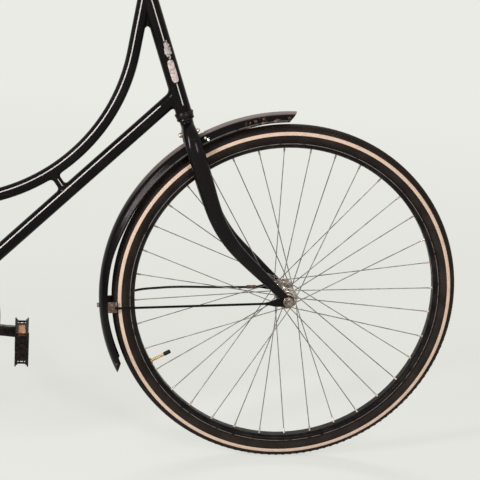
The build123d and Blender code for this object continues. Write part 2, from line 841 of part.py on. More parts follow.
with BuildPart() as rear_rack:
    with BuildLine() as loop:
        FilletPolyline(
            (rack_front_x, -rack_half_width, rack_z),
            (rack_front_x, rack_half_width, rack_z),
            (rack_rear_x, rack_half_width, rack_z),
            (rack_rear_x, -rack_half_width, rack_z),
            radius=rack_corner,
            close=True,
        )
    with BuildSketch(Plane(origin=loop.line @ 0, z_dir=loop.line % 0)):
        Circle(rack_tube_radius)
    sweep()
    with BuildSketch(Plane.XY.offset(rack_z + rack_tube_radius - 1)):
        with Locations(((rack_front_x + rack_rear_x) / 2, 0)):
            with GridLocations(0, rack_half_width * 0.58, 1, 3):
                Rectangle(rack_length, rack_strip_width)
    extrude(amount=rack_strip_thickness + 1)
    for share in (0.3, 0.7):
        with BuildSketch(side_plane(rack_half_width)):
            with Locations((rack_front_x - rack_length * share, rack_z)):
                Circle(rack_tube_radius)
        extrude(amount=2 * rack_half_width)
    with BuildSketch(Plane.XY.offset(rack_z - 2)):
        with Locations(((rack_front_x + seat_line_x) / 2, 0)):
            Rectangle(seat_line_x - rack_front_x, rack_strip_width * 1.6)
    extrude(amount=4)
    cut_cylinder(bracket_axle, seat_dir, seat_tube_length, seat_tube_radius)
    add(seat_tube.part, mode=Mode.SUBTRACT)
    add(seatstays.part, mode=Mode.SUBTRACT)

leg_top_offset = rack_half_width + rack_tube_radius + rack_leg_radius
leg_top = Vector(rear_axle.X - rack_leg_setback, leg_top_offset, rack_z)
leg_dir = Vector(leg_top.X - rear_axle.X, 0, leg_top.Z - rear_axle.Z).normalized()
rack_tab_middle = rack_face + rack_tab_thickness / 2

with BuildPart() as rack_legs:
    add(rod(
        [
            rear_axle + leg_dir * rack_tab_length + left * rack_tab_middle,
            rear_axle + leg_dir * (rack_tab_length * 2.5) + left * rack_tab_middle,
            leg_top,
        ],
        rack_leg_radius,
        rack_tab_length,
    ))
    tab = Plane(origin=rear_axle + left * rack_face, x_dir=leg_dir, z_dir=left)
    with BuildSketch(tab):
        Circle(stay_tab_radius)
        with Locations((rack_tab_length / 2 + rack_leg_radius, 0)):
            Rectangle(rack_tab_length + 2 * rack_leg_radius, 2 * rack_leg_radius)
    extrude(amount=rack_tab_thickness)
    mirror(about=Plane.XZ)
    cut_cylinder(rear_axle - left * rear_hub_width, left, rear_hub_width * 2, rear_axle_radius)
    add(rear_rack.part, mode=Mode.SUBTRACT)

# Stand, a pair of legs on the rear axle joined by a bar near the feet
foot_drop = rear_axle.Z
foot_dir = Vector(stand_foot_ahead, 0, -foot_drop).normalized()
tab_middle_y = stand_face + stand_tab_thickness / 2
bar_centre = rear_axle + foot_dir * stand_reach
foot_point = rear_axle + foot_dir * (foot_drop / -foot_dir.Z)


def stand_leg(hand):
    with BuildPart() as leg:
        add(rod(
            [
                rear_axle + foot_dir * 6 + left * tab_middle_y * hand,
                rear_axle + foot_dir * 60 + left * tab_middle_y * hand,
                bar_centre + left * stand_foot_spread * hand,
            ],
            stand_leg_radius,
            60,
        ))
        with BuildSketch(Plane(origin=rear_axle + left * stand_face * hand, z_dir=left * hand)):
            Circle(stand_tab_radius)
        extrude(amount=stand_tab_thickness)
        with BuildSketch(Plane.XY):
            with Locations((bar_centre.X, stand_foot_spread * hand)):
                SlotOverall(stand_foot_length + 2 * stand_leg_radius, 2 * stand_leg_radius)
        extrude(amount=bar_centre.Z)
        with BuildSketch(Plane(origin=rear_axle + left * (stand_face - 60) * hand,
                               z_dir=left * hand)):
            Circle(stand_tab_radius + 6)
        extrude(amount=60, mode=Mode.SUBTRACT)
        with BuildSketch(Plane(origin=rear_axle + left * (stand_face + stand_tab_thickness) * hand,
                               z_dir=left * hand)):
            Circle(stand_tab_radius + 6)
        extrude(amount=60, mode=Mode.SUBTRACT)
        cut_cylinder(rear_axle - left * rear_hub_width, left, rear_hub_width * 2,
                     rear_axle_radius + running_clearance)
    return leg


stand_leg_left = stand_leg(1)
stand_leg_right = stand_leg(-1)

with BuildPart() as stand_crossbar:
    with BuildSketch(side_plane(stand_foot_spread)):
        with Locations((bar_centre.X, bar_centre.Z)):
            Circle(stand_bar_radius)
    extrude(amount=2 * stand_foot_spread)
    add(stand_leg_left.part, mode=Mode.SUBTRACT)
    add(stand_leg_right.part, mode=Mode.SUBTRACT)

# Cranks
crank_dir = Vector(cos(radians(crank_angle)), 0, sin(radians(crank_angle)))
crank_outer = crank_inner_face + crank_thickness


def crank(hand, heading):
    """A cottered crank: boss, tapering arm, pedal eye and cotter."""
    eye = bracket_axle + heading * crank_length
    across = Vector(-heading.Z, 0, heading.X)
    with BuildPart() as arm:
        face = Plane(origin=bracket_axle + left * crank_inner_face * hand,
                     x_dir=heading, z_dir=left * hand)
        with BuildSketch(face):
            Circle(crank_root_width / 2)
            with Locations((crank_length, 0)):
                Circle(crank_eye_radius)
            with BuildLine():
                Polyline(
                    (0, crank_root_width / 2),
                    (crank_length, crank_tip_width / 2),
                    (crank_length, -crank_tip_width / 2),
                    (0, -crank_root_width / 2),
                    close=True,
                )
            make_face()
        extrude(amount=crank_thickness)
        boss = Plane(origin=bracket_axle + left * (crank_inner_face - 6) * hand,
                     z_dir=left * hand)
        with BuildSketch(boss):
            Circle(crank_boss_radius)
        extrude(amount=crank_thickness + 6)
        pin = bracket_axle + left * (crank_inner_face + crank_thickness / 2 - 2) * hand
        with BuildSketch(Plane(origin=pin + heading * cotter_offset - across * cotter_reach,
                               z_dir=across)):
            Circle(cotter_radius)
        extrude(amount=2 * cotter_reach)
        cut_cylinder(bracket_axle - left * 2 * crank_outer, left, 4 * crank_outer, spindle_radius)
        cut_cylinder(eye - left * 2 * crank_outer, left, 4 * crank_outer, pedal_axle_radius
                     + running_clearance)
    return arm


crank_right = crank(-1, crank_dir)
crank_left = crank(1, -crank_dir)

with BuildPart() as crank_spindle:
    with BuildSketch(side_plane(crank_outer - 2)):
        with Locations((bracket_axle.X, bracket_axle.Z)):
            Circle(spindle_radius)
    extrude(amount=2 * (crank_outer - 2))
    add(crank_right.part, mode=Mode.SUBTRACT)
    add(crank_left.part, mode=Mode.SUBTRACT)

# Pedals, hanging upright from their axles
pedal_inner = crank_outer + 5.0


def pedal(hand, eye):
    """The steel frame, the rubber blocks and the reflectors of one pedal."""
    upright = Plane(origin=eye + left * pedal_inner * hand, x_dir=(0, 0, 1), z_dir=left * hand)
    with BuildPart() as steel:
        with BuildSketch(Plane(origin=eye + left * crank_inner_face * hand, z_dir=left * hand)):
            Circle(pedal_axle_radius)
        extrude(amount=pedal_inner + pedal_width - crank_inner_face - 6)
        with BuildSketch(Plane(origin=eye + left * (crank_outer + face_clearance) * hand,
                               z_dir=left * hand)):
            Circle(pedal_collar_radius)
        extrude(amount=pedal_collar_height - 2 * face_clearance)
        with BuildSketch(upright):
            Circle(pedal_core_radius)
        extrude(amount=pedal_width)
        for start in (0, pedal_width - pedal_plate):
            with BuildSketch(upright.offset(start)):
                RectangleRounded(2 * pedal_half_length, pedal_block_height + 4, 3.0)
            extrude(amount=pedal_plate)
    with BuildPart() as rubber:
        with BuildSketch(upright.offset(pedal_plate)):
            for end in (1, -1):
                with Locations((end * (pedal_half_length - pedal_block_depth / 2), 0)):
                    RectangleRounded(pedal_block_depth, pedal_block_height, 2.5)
        extrude(amount=pedal_width - 2 * pedal_plate)
        add(steel.part, mode=Mode.SUBTRACT)
        for end in (1, -1):
            pocket = Plane(
                origin=eye + left * (pedal_inner + pedal_width / 2) * hand
                + Vector(0, 0, end * (pedal_half_length - reflector_thickness)),
                x_dir=left,
                z_dir=(0, 0, end),
            )
            with BuildSketch(pocket):
                Rectangle(reflector_width, reflector_height)
            extrude(amount=reflector_thickness + 1, mode=Mode.SUBTRACT)
    with BuildPart() as lenses:
        for end in (1, -1):
            pocket = Plane(
                origin=eye + left * (pedal_inner + pedal_width / 2) * hand
                + Vector(0, 0, end * (pedal_half_length - reflector_thickness)),
                x_dir=left,
                z_dir=(0, 0, end),
            )
            with BuildSketch(pocket):
                Rectangle(reflector_width, reflector_height)
            extrude(amount=reflector_thickness)
    return steel, rubber, lenses


pedal_right_frame, pedal_right_blocks, pedal_right_reflectors = pedal(
    -1, bracket_axle + crank_dir * crank_length
)
pedal_left_frame, pedal_left_blocks, pedal_left_reflectors = pedal(
    1, bracket_axle - crank_dir * crank_length
)

# Fork
with BuildPart() as fork_crown:
    steerer = [
        (neck_bottom, 0),
        (neck_bottom, neck_radius),
        (race_bottom, neck_radius),
        (race_bottom, race_radius),
        (race_top, race_radius),
        (race_top, steerer_radius),
        (upper_race_bottom, steerer_radius),
        (upper_race_bottom, race_radius),
        (upper_race_top, race_radius),
        (upper_race_top, steerer_radius),
        (locknut_top, steerer_radius),
        (locknut_top, 0),
    ]
    add(turned(steer_foot, steer_up, steerer))
    add(hexagon_nut(steering_point(0, 0, upper_race_top), locknut_width, locknut_height,
                    steer_up))
    cut_cylinder(steering_point(0, 0, race_bottom), steer_up, locknut_top - race_bottom,
                 steerer_bore)
    cut_cylinder(steering_point(-neck_radius * 2, 0, crown_bolt_height), steer_fore,
                 neck_radius * 4, crown_bolt_radius)

lower_run = hypot(fork_rake, blade_bend_corner)
bend_turn = atan2(fork_rake, blade_bend_corner)
blade_tangent = blade_bend_radius * tan(bend_turn / 2)
bend_top = blade_bend_corner + blade_tangent
fork_end_middle = front_hub_width / 2 + fork_end_thickness / 2


def on_bend(share):
    turn = bend_turn * share
    return blade_bend_radius * (1 - cos(turn)), bend_top - blade_bend_radius * sin(turn)


def on_lower_run(from_axle):
    return fork_rake - from_axle * sin(bend_turn), from_axle * cos(bend_turn)


def blade_stations():
    """Rows of fore, side, up, half depth and half width, from the neck to the tip."""
    spread = blade_spread_top
    neck = neck_bottom
    tip_reach = fork_end_radius - 2.0
    rows = [
        (0, spread * 0.15, neck + 19, blade_half_depth - 4.0, blade_half_width - 0.5),
        (0, spread * 0.43, neck + 12, blade_half_depth - 2.5, blade_half_width),
        (0, spread * 0.74, neck - 1, blade_half_depth - 1.0, blade_half_width),
        (0, spread * 0.95, neck - 18, blade_half_depth, blade_half_width),
        (0, spread, neck - 40, blade_half_depth, blade_half_width),
        (0, spread + 0.6, neck - 86, blade_half_depth, blade_half_width),
    ]
    below_crown = [
        (*on_bend(0.0), 0.15, 0.10),
        (*on_bend(0.5), 0.38, 0.28),
        (*on_bend(1.0), 0.62, 0.55),
        (*on_lower_run(52), 0.85, 0.86),
        (*on_lower_run(tip_reach), 1.0, 1.0),
    ]
    for fore, up, out, taper in below_crown:
        rows.append(
            (
                fore,
                spread + (fork_end_middle - spread) * out,
                up,
                blade_half_depth + (blade_tip_half_depth - blade_half_depth) * taper,
                blade_half_width + (blade_tip_half_width - blade_half_width) * taper,
            )
        )
    return rows


def blade(hand):
    rows = blade_stations()
    places = [steering_point(fore, side * hand, up) for fore, side, up, _, _ in rows]
    with BuildPart() as piece:
        for index, row in enumerate(rows):
            before = places[max(index - 1, 0)]
            after = places[min(index + 1, len(rows) - 1)]
            heading = (after - before).normalized()
            fore = (steer_fore - heading * steer_fore.dot(heading)).normalized()
            with BuildSketch(Plane(origin=places[index], x_dir=fore, z_dir=heading)):
                Ellipse(row[3], row[4])
        loft(ruled=True)
        with BuildSketch(Plane(origin=front_axle + left * (front_hub_width / 2) * hand,
                               z_dir=left * hand)):
            Circle(fork_end_radius)
        extrude(amount=fork_end_thickness)
        cut_cylinder(steering_point(0, 0, neck_bottom), steer_up, race_bottom - neck_bottom,
                     neck_radius)
        cut_cylinder(front_axle - left * front_hub_width, left, front_hub_width * 2,
                     front_axle_radius)
        cut_cylinder(steering_point(-3 * crown_bolt_reach, 0, crown_bolt_height), steer_fore,
                     6 * crown_bolt_reach, crown_bolt_head_radius + 0.5)
    return piece.part


with BuildPart() as fork_blades:
    add(blade(1))
    add(blade(-1))

with BuildPart() as crown_bolt:
    with BuildSketch(Plane(origin=steering_point(-crown_bolt_reach, 0, crown_bolt_height),
                           z_dir=steer_fore)):
        Circle(crown_bolt_radius)
    extrude(amount=2 * crown_bolt_reach)
    for end in (1, -1):
        with BuildSketch(Plane(origin=steering_point(end * crown_bolt_reach, 0,
                                                     crown_bolt_height),
                               z_dir=steer_fore * -end)):
            Circle(crown_bolt_head_radius)
        extrude(amount=crown_bolt_reach - neck_radius)
    strap_bottom = steering_point(neck_radius + 2, 0, neck_bottom - 16)
    with BuildSketch(Plane(origin=strap_bottom, x_dir=left, z_dir=steer_up)):
        Rectangle(14, 2)
    extrude(amount=crown_bolt_height - neck_bottom + 16)
    add(front_mudguard.part, mode=Mode.SUBTRACT)
    cut_cylinder(front_axle - left * guard_half_width, left, 2 * guard_half_width,
                 guard_crest_radius - guard_wall / 2)

# Front stays with the bracket that holds them under the mudguard
with BuildPart() as stay_bracket:
    start = radians(front_stay_angle - bracket_arc / 2)
    radial = Vector(cos(start), 0, sin(start))
    with BuildSketch(Plane(origin=front_axle, x_dir=left, z_dir=left.cross(radial))):
        guard_section(inset=guard_wall + 0.2, wall=bracket_wall)
    revolve(axis=Axis(front_axle, -left), revolution_arc=bracket_arc)
    plate_outer = guard_half_width - guard_wall - 0.2
    for hand in (1, -1):
        flank = Plane(
            origin=front_axle + left * (plate_outer - bracket_wall) * hand,
            x_dir=Vector(cos(radians(front_stay_angle)), 0, sin(radians(front_stay_angle))),
            z_dir=left * hand,
        )
        with BuildSketch(flank):
            with Locations(((guard_edge_radius + front_stay_attach_radius - bracket_lap) / 2, 0)):
                Rectangle(guard_edge_radius - front_stay_attach_radius + bracket_lap,
                          bracket_width)
        extrude(amount=bracket_wall)
        with BuildSketch(flank.offset(-1.0)):
            with Locations((front_stay_attach_radius, 0)):
                Circle(bracket_bolt_radius)
        extrude(amount=front_stay_attach_offset + 5 - plate_outer)
    bolt = around(front_axle, guard_crest_radius, front_stay_angle)
    outward = Vector(cos(radians(front_stay_angle)), 0, sin(radians(front_stay_angle)))
    with BuildSketch(Plane(origin=bolt, z_dir=outward)):
        Circle(4.5)
    extrude(amount=4)

with BuildPart() as front_mudguard_stays:
    front_stay_face = front_hub_width / 2 + fork_end_thickness
    add(stay_wire(front_axle, front_stay_face, front_stay_angle, 2 * stay_tab_length,
                  front_stay_attach_radius, front_stay_attach_offset))
    mirror(about=Plane.XZ)
    cut_cylinder(front_axle - left * front_hub_width, left, front_hub_width * 2,
                 front_axle_radius)
    add(stay_bracket.part, mode=Mode.SUBTRACT)

front_washer_face = front_hub_width / 2 + fork_end_thickness + stay_tab_thickness
front_nut_face = front_washer_face + washer_thickness
front_axle_half = front_nut_face + nut_height + axle_end

with BuildPart() as front_axle_set:
    with BuildSketch(side_plane(front_axle_half)):
        with Locations((front_axle.X, front_axle.Z)):
            Circle(front_axle_radius)
    extrude(amount=2 * front_axle_half)
    for near, far, radius in (
        (front_hub_shell_width / 2 + face_clearance, front_hub_width / 2, cone_radius),
        (front_washer_face, front_nut_face, washer_radius),
    ):
        for hand in (1, -1):
            with BuildSketch(Plane(origin=front_axle + left * near * hand, z_dir=left * hand)):
                Circle(radius)
            extrude(amount=far - near)
    for hand in (1, -1):
        add(hexagon_nut(front_axle + left * front_nut_face * hand, nut_width, nut_height,
                        left * hand))

# Stem and handlebar
quill_bottom = locknut_top - quill_insert
stem_top = locknut_top + stem_rise
stem_corner = steering_point(0, 0, stem_top)
bar_centre_point = stem_corner + Vector(stem_reach, 0, stem_reach * 0.12)

with BuildPart() as stem:
    with BuildSketch(Plane(origin=steering_point(0, 0, quill_bottom), z_dir=steer_up)):
        Circle(quill_radius)
    extrude(amount=stem_top - quill_bottom + quill_radius)
    add(rod([stem_corner, bar_centre_point], stem_arm_radius))
    with BuildSketch(side_plane(stem_clamp_width / 2)):
        with Locations((bar_centre_point.X, bar_centre_point.Z)):
            Circle(stem_clamp_radius)
    extrude(amount=stem_clamp_width)
    cut_cylinder(bar_centre_point - left * stem_clamp_width, left, 2 * stem_clamp_width,
                 bar_sleeve_radius + bar_fit_clearance)


def bar_place(back, side, rise):
    return bar_centre_point + Vector(-back, side, rise)


bar_side = [
    (0, bar_half_width * 0.13, 0),
    (-30, bar_half_width * 0.36, bar_rise * 0.66),
    (-20, bar_half_width * 0.73, bar_rise),
    (bar_sweep * 0.27, bar_half_width * 0.95, bar_rise),
    (bar_sweep, bar_half_width, bar_rise * 0.7),
]
bar_points = [bar_place(back, -side, rise) for back, side, rise in reversed(bar_side)]
bar_points += [bar_place(back, side, rise) for back, side, rise in bar_side]
bar_bends = [70, 70, 60, 50, 50, 60, 70, 70]

with BuildPart() as handlebar:
    add(rod(bar_points, bar_radius, bar_bends))
    with BuildSketch(side_plane(bar_sleeve_width / 2)):
        with Locations((bar_centre_point.X, bar_centre_point.Z)):
            Circle(bar_sleeve_radius)
    extrude(amount=bar_sleeve_width)


def grip(hand):
    tip = bar_place(bar_sweep, bar_half_width * hand, bar_side[-1][2])
    inner = bar_place(bar_side[-2][0], bar_side[-2][1] * hand, bar_side[-2][2])
    out = (tip - inner).normalized()
    with BuildPart() as sleeve:
        with BuildSketch(Plane(origin=tip - out * (grip_length - grip_cap), z_dir=out)):
            Circle(grip_radius)
        extrude(amount=grip_length)
        fillet(sleeve.edges().filter_by(GeomType.CIRCLE), radius=3.0)
        cut_cylinder(tip - out * grip_length, out, grip_length + bar_fit_clearance,
                     bar_radius + bar_fit_clearance)
    return sleeve


grip_left = grip(1)
grip_right = grip(-1)


# Wheels
def hub_profile(bore, barrel, flange, offset, thickness, end, width):
    """Half outlines mirrored about the wheel's middle plane, as (across, radius)."""
    half = [
        (0, barrel),
        (offset - thickness * 2.5, barrel),
        (offset - thickness / 2, end),
        (offset - thickness / 2, flange),
        (offset + thickness / 2, flange),
        (offset + thickness / 2, end),
        (width / 2, end * 0.86),
        (width / 2, bore),
    ]
    return half + [(-across, radius) for across, radius in reversed(half)]


def make_tyre(centre):
    section = tyre_width / 2
    middle = tyre_radius - section
    bead = rim_width / 2 - rim_wall - bead_clearance - 0.4
    foot = rim_edge_radius - 4.5
    with BuildPart() as tyre:
        with BuildSketch(Plane(origin=centre, x_dir=left, z_dir=(1, 0, 0))):
            with BuildLine():
                knee = middle - section * 0.72
                shoulder = section * sqrt(1 - 0.72**2)
                inside = section - tyre_casing
                inner_knee = middle - inside * 0.72
                inner_shoulder = inside * sqrt(1 - 0.72**2)
                ThreePointArc((-shoulder, knee), (0, middle + section), (shoulder, knee))
                Line((shoulder, knee), (bead, foot))
                Line((bead, foot), (bead - tyre_casing, foot))
                Line((bead - tyre_casing, foot), (inner_shoulder, inner_knee))
                ThreePointArc((inner_shoulder, inner_knee), (0, middle + inside),
                              (-inner_shoulder, inner_knee))
                Line((-inner_shoulder, inner_knee), (-bead + tyre_casing, foot))
                Line((-bead + tyre_casing, foot), (-bead, foot))
                Line((-bead, foot), (-shoulder, knee))
            make_face()
        revolve(axis=Axis(centre, left))
    return tyre


def make_rim(centre):
    edge = rim_width / 2
    bed = rim_bed_width / 2
    profile = [
        (-bed, rim_inner_radius),
        (bed, rim_inner_radius),
        (edge - 1, rim_inner_radius + 3.5),
        (edge, rim_inner_radius + 6.5),
        (edge, rim_edge_radius),
        (edge - rim_wall, rim_edge_radius),
        (edge - rim_wall, rim_inner_radius + 6.5),
        (bed, rim_inner_radius + rim_wall),
        (-bed, rim_inner_radius + rim_wall),
        (-edge + rim_wall, rim_inner_radius + 6.5),
        (-edge + rim_wall, rim_edge_radius),
        (-edge, rim_edge_radius),
        (-edge, rim_inner_radius + 6.5),
        (-edge + 1, rim_inner_radius + 3.5),
    ]
    with BuildPart() as rim:
        add(turned(centre, left, profile))
        valve = around(centre, rim_inner_radius - 5, valve_angle)
        out = (valve - centre).normalized()
        cut_cylinder(valve, out, 30, valve_radius + bar_fit_clearance)
    return rim


def make_hub(centre, bore, barrel, flange, offset, thickness, end, width):
    with BuildPart() as hub:
        add(turned(centre, left, hub_profile(bore, barrel, flange, offset, thickness, end, width)))
    return hub


def make_spokes(centre, flange, offset, thickness):
    """Tangent spokes, alternately to each flange and alternately leading and trailing."""
    hole_radius = flange - 3.0
    per_side = spoke_count / 2
    lean = spoke_crossings * 360 / per_side
    step = 360 / spoke_count
    solids = []
    for index in range(spoke_count):
        angle = spoke_phase + index * step
        hand = -1 if index % 2 == 0 else 1
        trailing = (index // 2) % 2 == 0
        face = offset + (thickness / 2 + spoke_radius * 0.4) * (1 if trailing else -1)
        foot = around(centre, hole_radius, angle + (lean if trailing else -lean), face * hand)
        head = around(centre, rim_inner_radius + spoke_embed, angle, hand * 3.0)
        direction = (head - foot).normalized()
        with BuildPart() as wire:
            with BuildSketch(Plane(origin=foot, z_dir=direction)):
                Circle(spoke_radius)
            extrude(amount=(head - foot).length)
        solids.append(wire.part.solid())
    with BuildPart() as spokes:
        add(solids)
    return spokes


def make_valve(centre):
    tip = rim_inner_radius - valve_length
    start = around(centre, tip, valve_angle)
    out = (start - centre).normalized()
    profile = [
        (0, 0),
        (0, valve_cap_radius),
        (valve_cap_length, valve_cap_radius),
        (valve_cap_length, valve_radius),
        (valve_length - 3, valve_radius),
        (valve_length - 3, valve_radius + 2.4),
        (valve_length - 0.6, valve_radius + 2.4),
        (valve_length - 0.6, valve_radius),
        (valve_length + rim_wall + 1, valve_radius),
        (valve_length + rim_wall + 1, 0),
    ]
    with BuildPart() as valve:
        add(turned(start, out, profile))
    return valve


front_hub_sizes = (front_flange_radius, front_flange_offset, front_flange_thickness)
rear_hub_sizes = (rear_flange_radius, rear_flange_offset, rear_flange_thickness)
front_tyre = make_tyre(front_axle)
front_rim = make_rim(front_axle)
front_spokes = make_spokes(front_axle, *front_hub_sizes)
front_hub = make_hub(front_axle, front_axle_radius + running_clearance, front_barrel_radius,
                     *front_hub_sizes, front_hub_end_radius, front_hub_shell_width)
front_valve = make_valve(front_axle)
rear_tyre = make_tyre(rear_axle)
rear_rim = make_rim(rear_axle)
rear_spokes = make_spokes(rear_axle, *rear_hub_sizes)
rear_hub = make_hub(rear_axle, rear_axle_radius + running_clearance, rear_barrel_radius,
                    *rear_hub_sizes, rear_hub_end_radius, rear_hub_shell_width)
rear_valve = make_valve(rear_axle)

pieces = {
    "head_tube": head_tube,
    "headset_lower": headset_lower,
    "headset_upper": headset_upper,
    "down_tube": down_tube,
    "top_tube": top_tube,
    "seat_tube": seat_tube,
    "bottom_bracket_shell": bottom_bracket_shell,
    "chainstays": chainstays,
    "seatstays": seatstays,
    "seat_post": seat_post,
    "saddle_top": saddle_top,
    "saddle_frame": saddle_frame,
    "rear_mudguard": rear_mudguard,
    "rear_mudguard_stays": rear_mudguard_stays,
    "rear_reflector": rear_reflector,
    "chaincase": chaincase,
    "rear_axle": rear_axle_set,
    "brake_arm": brake_arm,
    "rear_rack": rear_rack,
    "rack_legs": rack_legs,
    "stand_leg_left": stand_leg_left,
    "stand_leg_right": stand_leg_right,
    "stand_crossbar": stand_crossbar,
    "crank_right": crank_right,
    "crank_left": crank_left,
    "crank_spindle": crank_spindle,
    "pedal_right_frame": pedal_right_frame,
    "pedal_right_blocks": pedal_right_blocks,
    "pedal_right_reflectors": pedal_right_reflectors,
    "pedal_left_frame": pedal_left_frame,
    "pedal_left_blocks": pedal_left_blocks,
    "pedal_left_reflectors": pedal_left_reflectors,
    "fork_crown": fork_crown,
    "fork_blades": fork_blades,
    "crown_bolt": crown_bolt,
    "front_mudguard": front_mudguard,
    "stay_bracket": stay_bracket,
    "front_mudguard_stays": front_mudguard_stays,
    "front_axle": front_axle_set,
    "stem": stem,
    "handlebar": handlebar,
    "grip_left": grip_left,
    "grip_right": grip_right,
    "front_tyre": front_tyre,
    "front_rim": front_rim,
    "front_spokes": front_spokes,
    "front_hub": front_hub,
    "front_valve": front_valve,
    "rear_tyre": rear_tyre,
    "rear_rim": rear_rim,
    "rear_spokes": rear_spokes,
    "rear_hub": rear_hub,
    "rear_valve": rear_valve,
}

for node_name, piece in pieces.items():
    piece.part.label = node_name
    export_step(piece.part, f"parts/{node_name}.step")
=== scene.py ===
from collections import namedtuple
from math import atan2, cos, hypot, pi, radians, sin, sqrt, tan

import bmesh
import bpy
from mathutils import Matrix, Vector


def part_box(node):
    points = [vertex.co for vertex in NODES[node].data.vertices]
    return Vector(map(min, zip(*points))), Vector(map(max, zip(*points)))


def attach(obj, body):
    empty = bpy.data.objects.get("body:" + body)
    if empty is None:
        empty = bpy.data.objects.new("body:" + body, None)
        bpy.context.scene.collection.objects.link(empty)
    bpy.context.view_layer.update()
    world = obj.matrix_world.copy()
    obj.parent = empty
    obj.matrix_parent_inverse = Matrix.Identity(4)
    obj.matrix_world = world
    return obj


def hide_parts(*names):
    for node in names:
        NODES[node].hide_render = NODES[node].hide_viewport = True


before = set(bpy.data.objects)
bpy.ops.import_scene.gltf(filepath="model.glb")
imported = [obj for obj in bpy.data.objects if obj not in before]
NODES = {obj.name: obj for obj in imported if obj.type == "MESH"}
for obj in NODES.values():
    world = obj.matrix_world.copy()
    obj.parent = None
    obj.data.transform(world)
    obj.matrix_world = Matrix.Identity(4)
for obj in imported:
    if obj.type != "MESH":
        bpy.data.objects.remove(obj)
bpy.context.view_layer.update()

bl_info = {
    "name": "Roadster bicycle",
    "version": (1, 0, 0),
    "blender": (4, 5, 0),
    "location": "3D View > Sidebar > Bicycle",
    "description": "Dresses the loaded frame of a step-through roadster bicycle",
    "category": "Add Mesh",
}


def corners(node):
    """The lowest and the highest corner of a node, as vectors."""
    low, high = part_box(node)
    return Vector(low), Vector(high)


def middle(*nodes):
    """The middle of the box round one or more nodes."""
    lows, highs = zip(*(corners(node) for node in nodes))
    low = Vector([min(values) for values in zip(*lows)])
    high = Vector([max(values) for values in zip(*highs)])
    return (low + high) / 2


def span(node):
    """The size of a node's box."""
    low, high = corners(node)
    return high - low


# Places read from the frame
FRONT_AXLE = middle("front_tyre")
REAR_AXLE = middle("rear_tyre")
BRACKET = middle("bottom_bracket_shell")
PEDAL_RIGHT = middle("pedal_right_blocks")
PEDAL_LEFT = middle("pedal_left_blocks")
LEFT = Vector((0, 1, 0))
AHEAD = Vector((1, 0, 0))
UP = Vector((0, 0, 1))
HEAD_ANGLE = radians(70.76)
RAKE = 0.0901
STEER_UP = Vector((-cos(HEAD_ANGLE), 0, sin(HEAD_ANGLE)))
STEER_FORE = Vector((sin(HEAD_ANGLE), 0, cos(HEAD_ANGLE)))
STEER_FOOT = FRONT_AXLE - STEER_FORE * RAKE


def steering_point(fore, side, up):
    """A point by its distances ahead of, beside and up the steering line."""
    return STEER_FOOT + STEER_FORE * fore + LEFT * side + STEER_UP * up


def around(axle, radius, angle, side=0.0):
    """A point at a radius and an angle above forwards about an axle."""
    return Vector((axle.x + radius * cos(angle), side, axle.z + radius * sin(angle)))


def heading_at(degrees):
    """A direction in the plane of the wheels, by its angle above forwards."""
    return Vector((cos(radians(degrees)), 0, sin(radians(degrees))))


def beside(place, side):
    """A place moved to a distance left of the bicycle's middle."""
    return Vector((place.x, side, place.z))


# Sizes and colours


def length(name, description, default):
    return bpy.props.FloatProperty(
        name=name, description=description, default=default, unit="LENGTH", precision=4
    )


def angle(name, description, degrees):
    return bpy.props.FloatProperty(
        name=name, description=description, default=radians(degrees), subtype="ANGLE"
    )


def share(name, description, default):
    return bpy.props.FloatProperty(
        name=name, description=description, default=default, subtype="FACTOR", min=0, max=1
    )


def number(name, description, default):
    return bpy.props.IntProperty(name=name, description=description, default=default, min=1)


def colour(name, description, default):
    return bpy.props.FloatVectorProperty(
        name=name, description=description, default=default, subtype="COLOR", size=3,
        min=0, max=1,
    )


class WheelSizes(bpy.types.PropertyGroup):
    """Sizes of the tyres, rims, spokes and valves."""

    tyre_radius: length("Tyre radius", "Outer radius of the tyre", span("front_tyre").x / 2)
    tyre_width: length("Tyre width", "Width of the tyre", span("front_tyre").y)
    rim_width: length("Rim width", "Width over the rim's flanges", span("front_rim").y)
    rim_edge: length("Rim edge", "Radius of the rim's flanges", span("front_rim").x / 2)
    rim_inner: length("Rim well", "Radius of the rim's inner face", 0.302)
    tread_blocks: number("Tread blocks", "Shoulder blocks round the tyre", 150)
    groups: number("Spoke groups", "Groups of four spokes round the wheel", 9)
    crossings: angle("Spoke lean", "How far each spoke's hub hole is turned from its rim hole", 60)
    phase: angle("Spoke phase", "Angle of the first spoke at the rim", 3.7)
    spoke_radius: length("Spoke radius", "Radius of a spoke", 0.001)
    nipple_length: length("Nipple length", "Length of a nipple outside the rim", 0.011)
    valve_angle: angle("Valve angle", "Angle of the valve about the axle", -150.5)
    valve_length: length("Valve length", "Length of the valve inside the rim", 0.044)


class GuardSizes(bpy.types.PropertyGroup):
    """Sizes of the mudguards."""

    crest: length("Crest radius", "Radius of a mudguard's crest", 0.373)
    edge: length("Edge radius", "Radius of a mudguard's edges", 0.3575)
    width: length("Width", "Width of a mudguard", span("rear_mudguard").y)
    wall: length("Wall", "Thickness of a mudguard's sheet", 0.0012)
    bead: length("Bead", "Radius of the rolled edge", 0.0016)
    front_start: angle("Front nose", "Where the front mudguard starts", 90.1)
    front_end: angle("Front tail", "Where the front mudguard ends", 207.7)
    rear_start: angle("Rear nose", "Where the rear mudguard starts", -10)
    rear_end: angle("Rear tail", "Where the rear mudguard ends", 209)


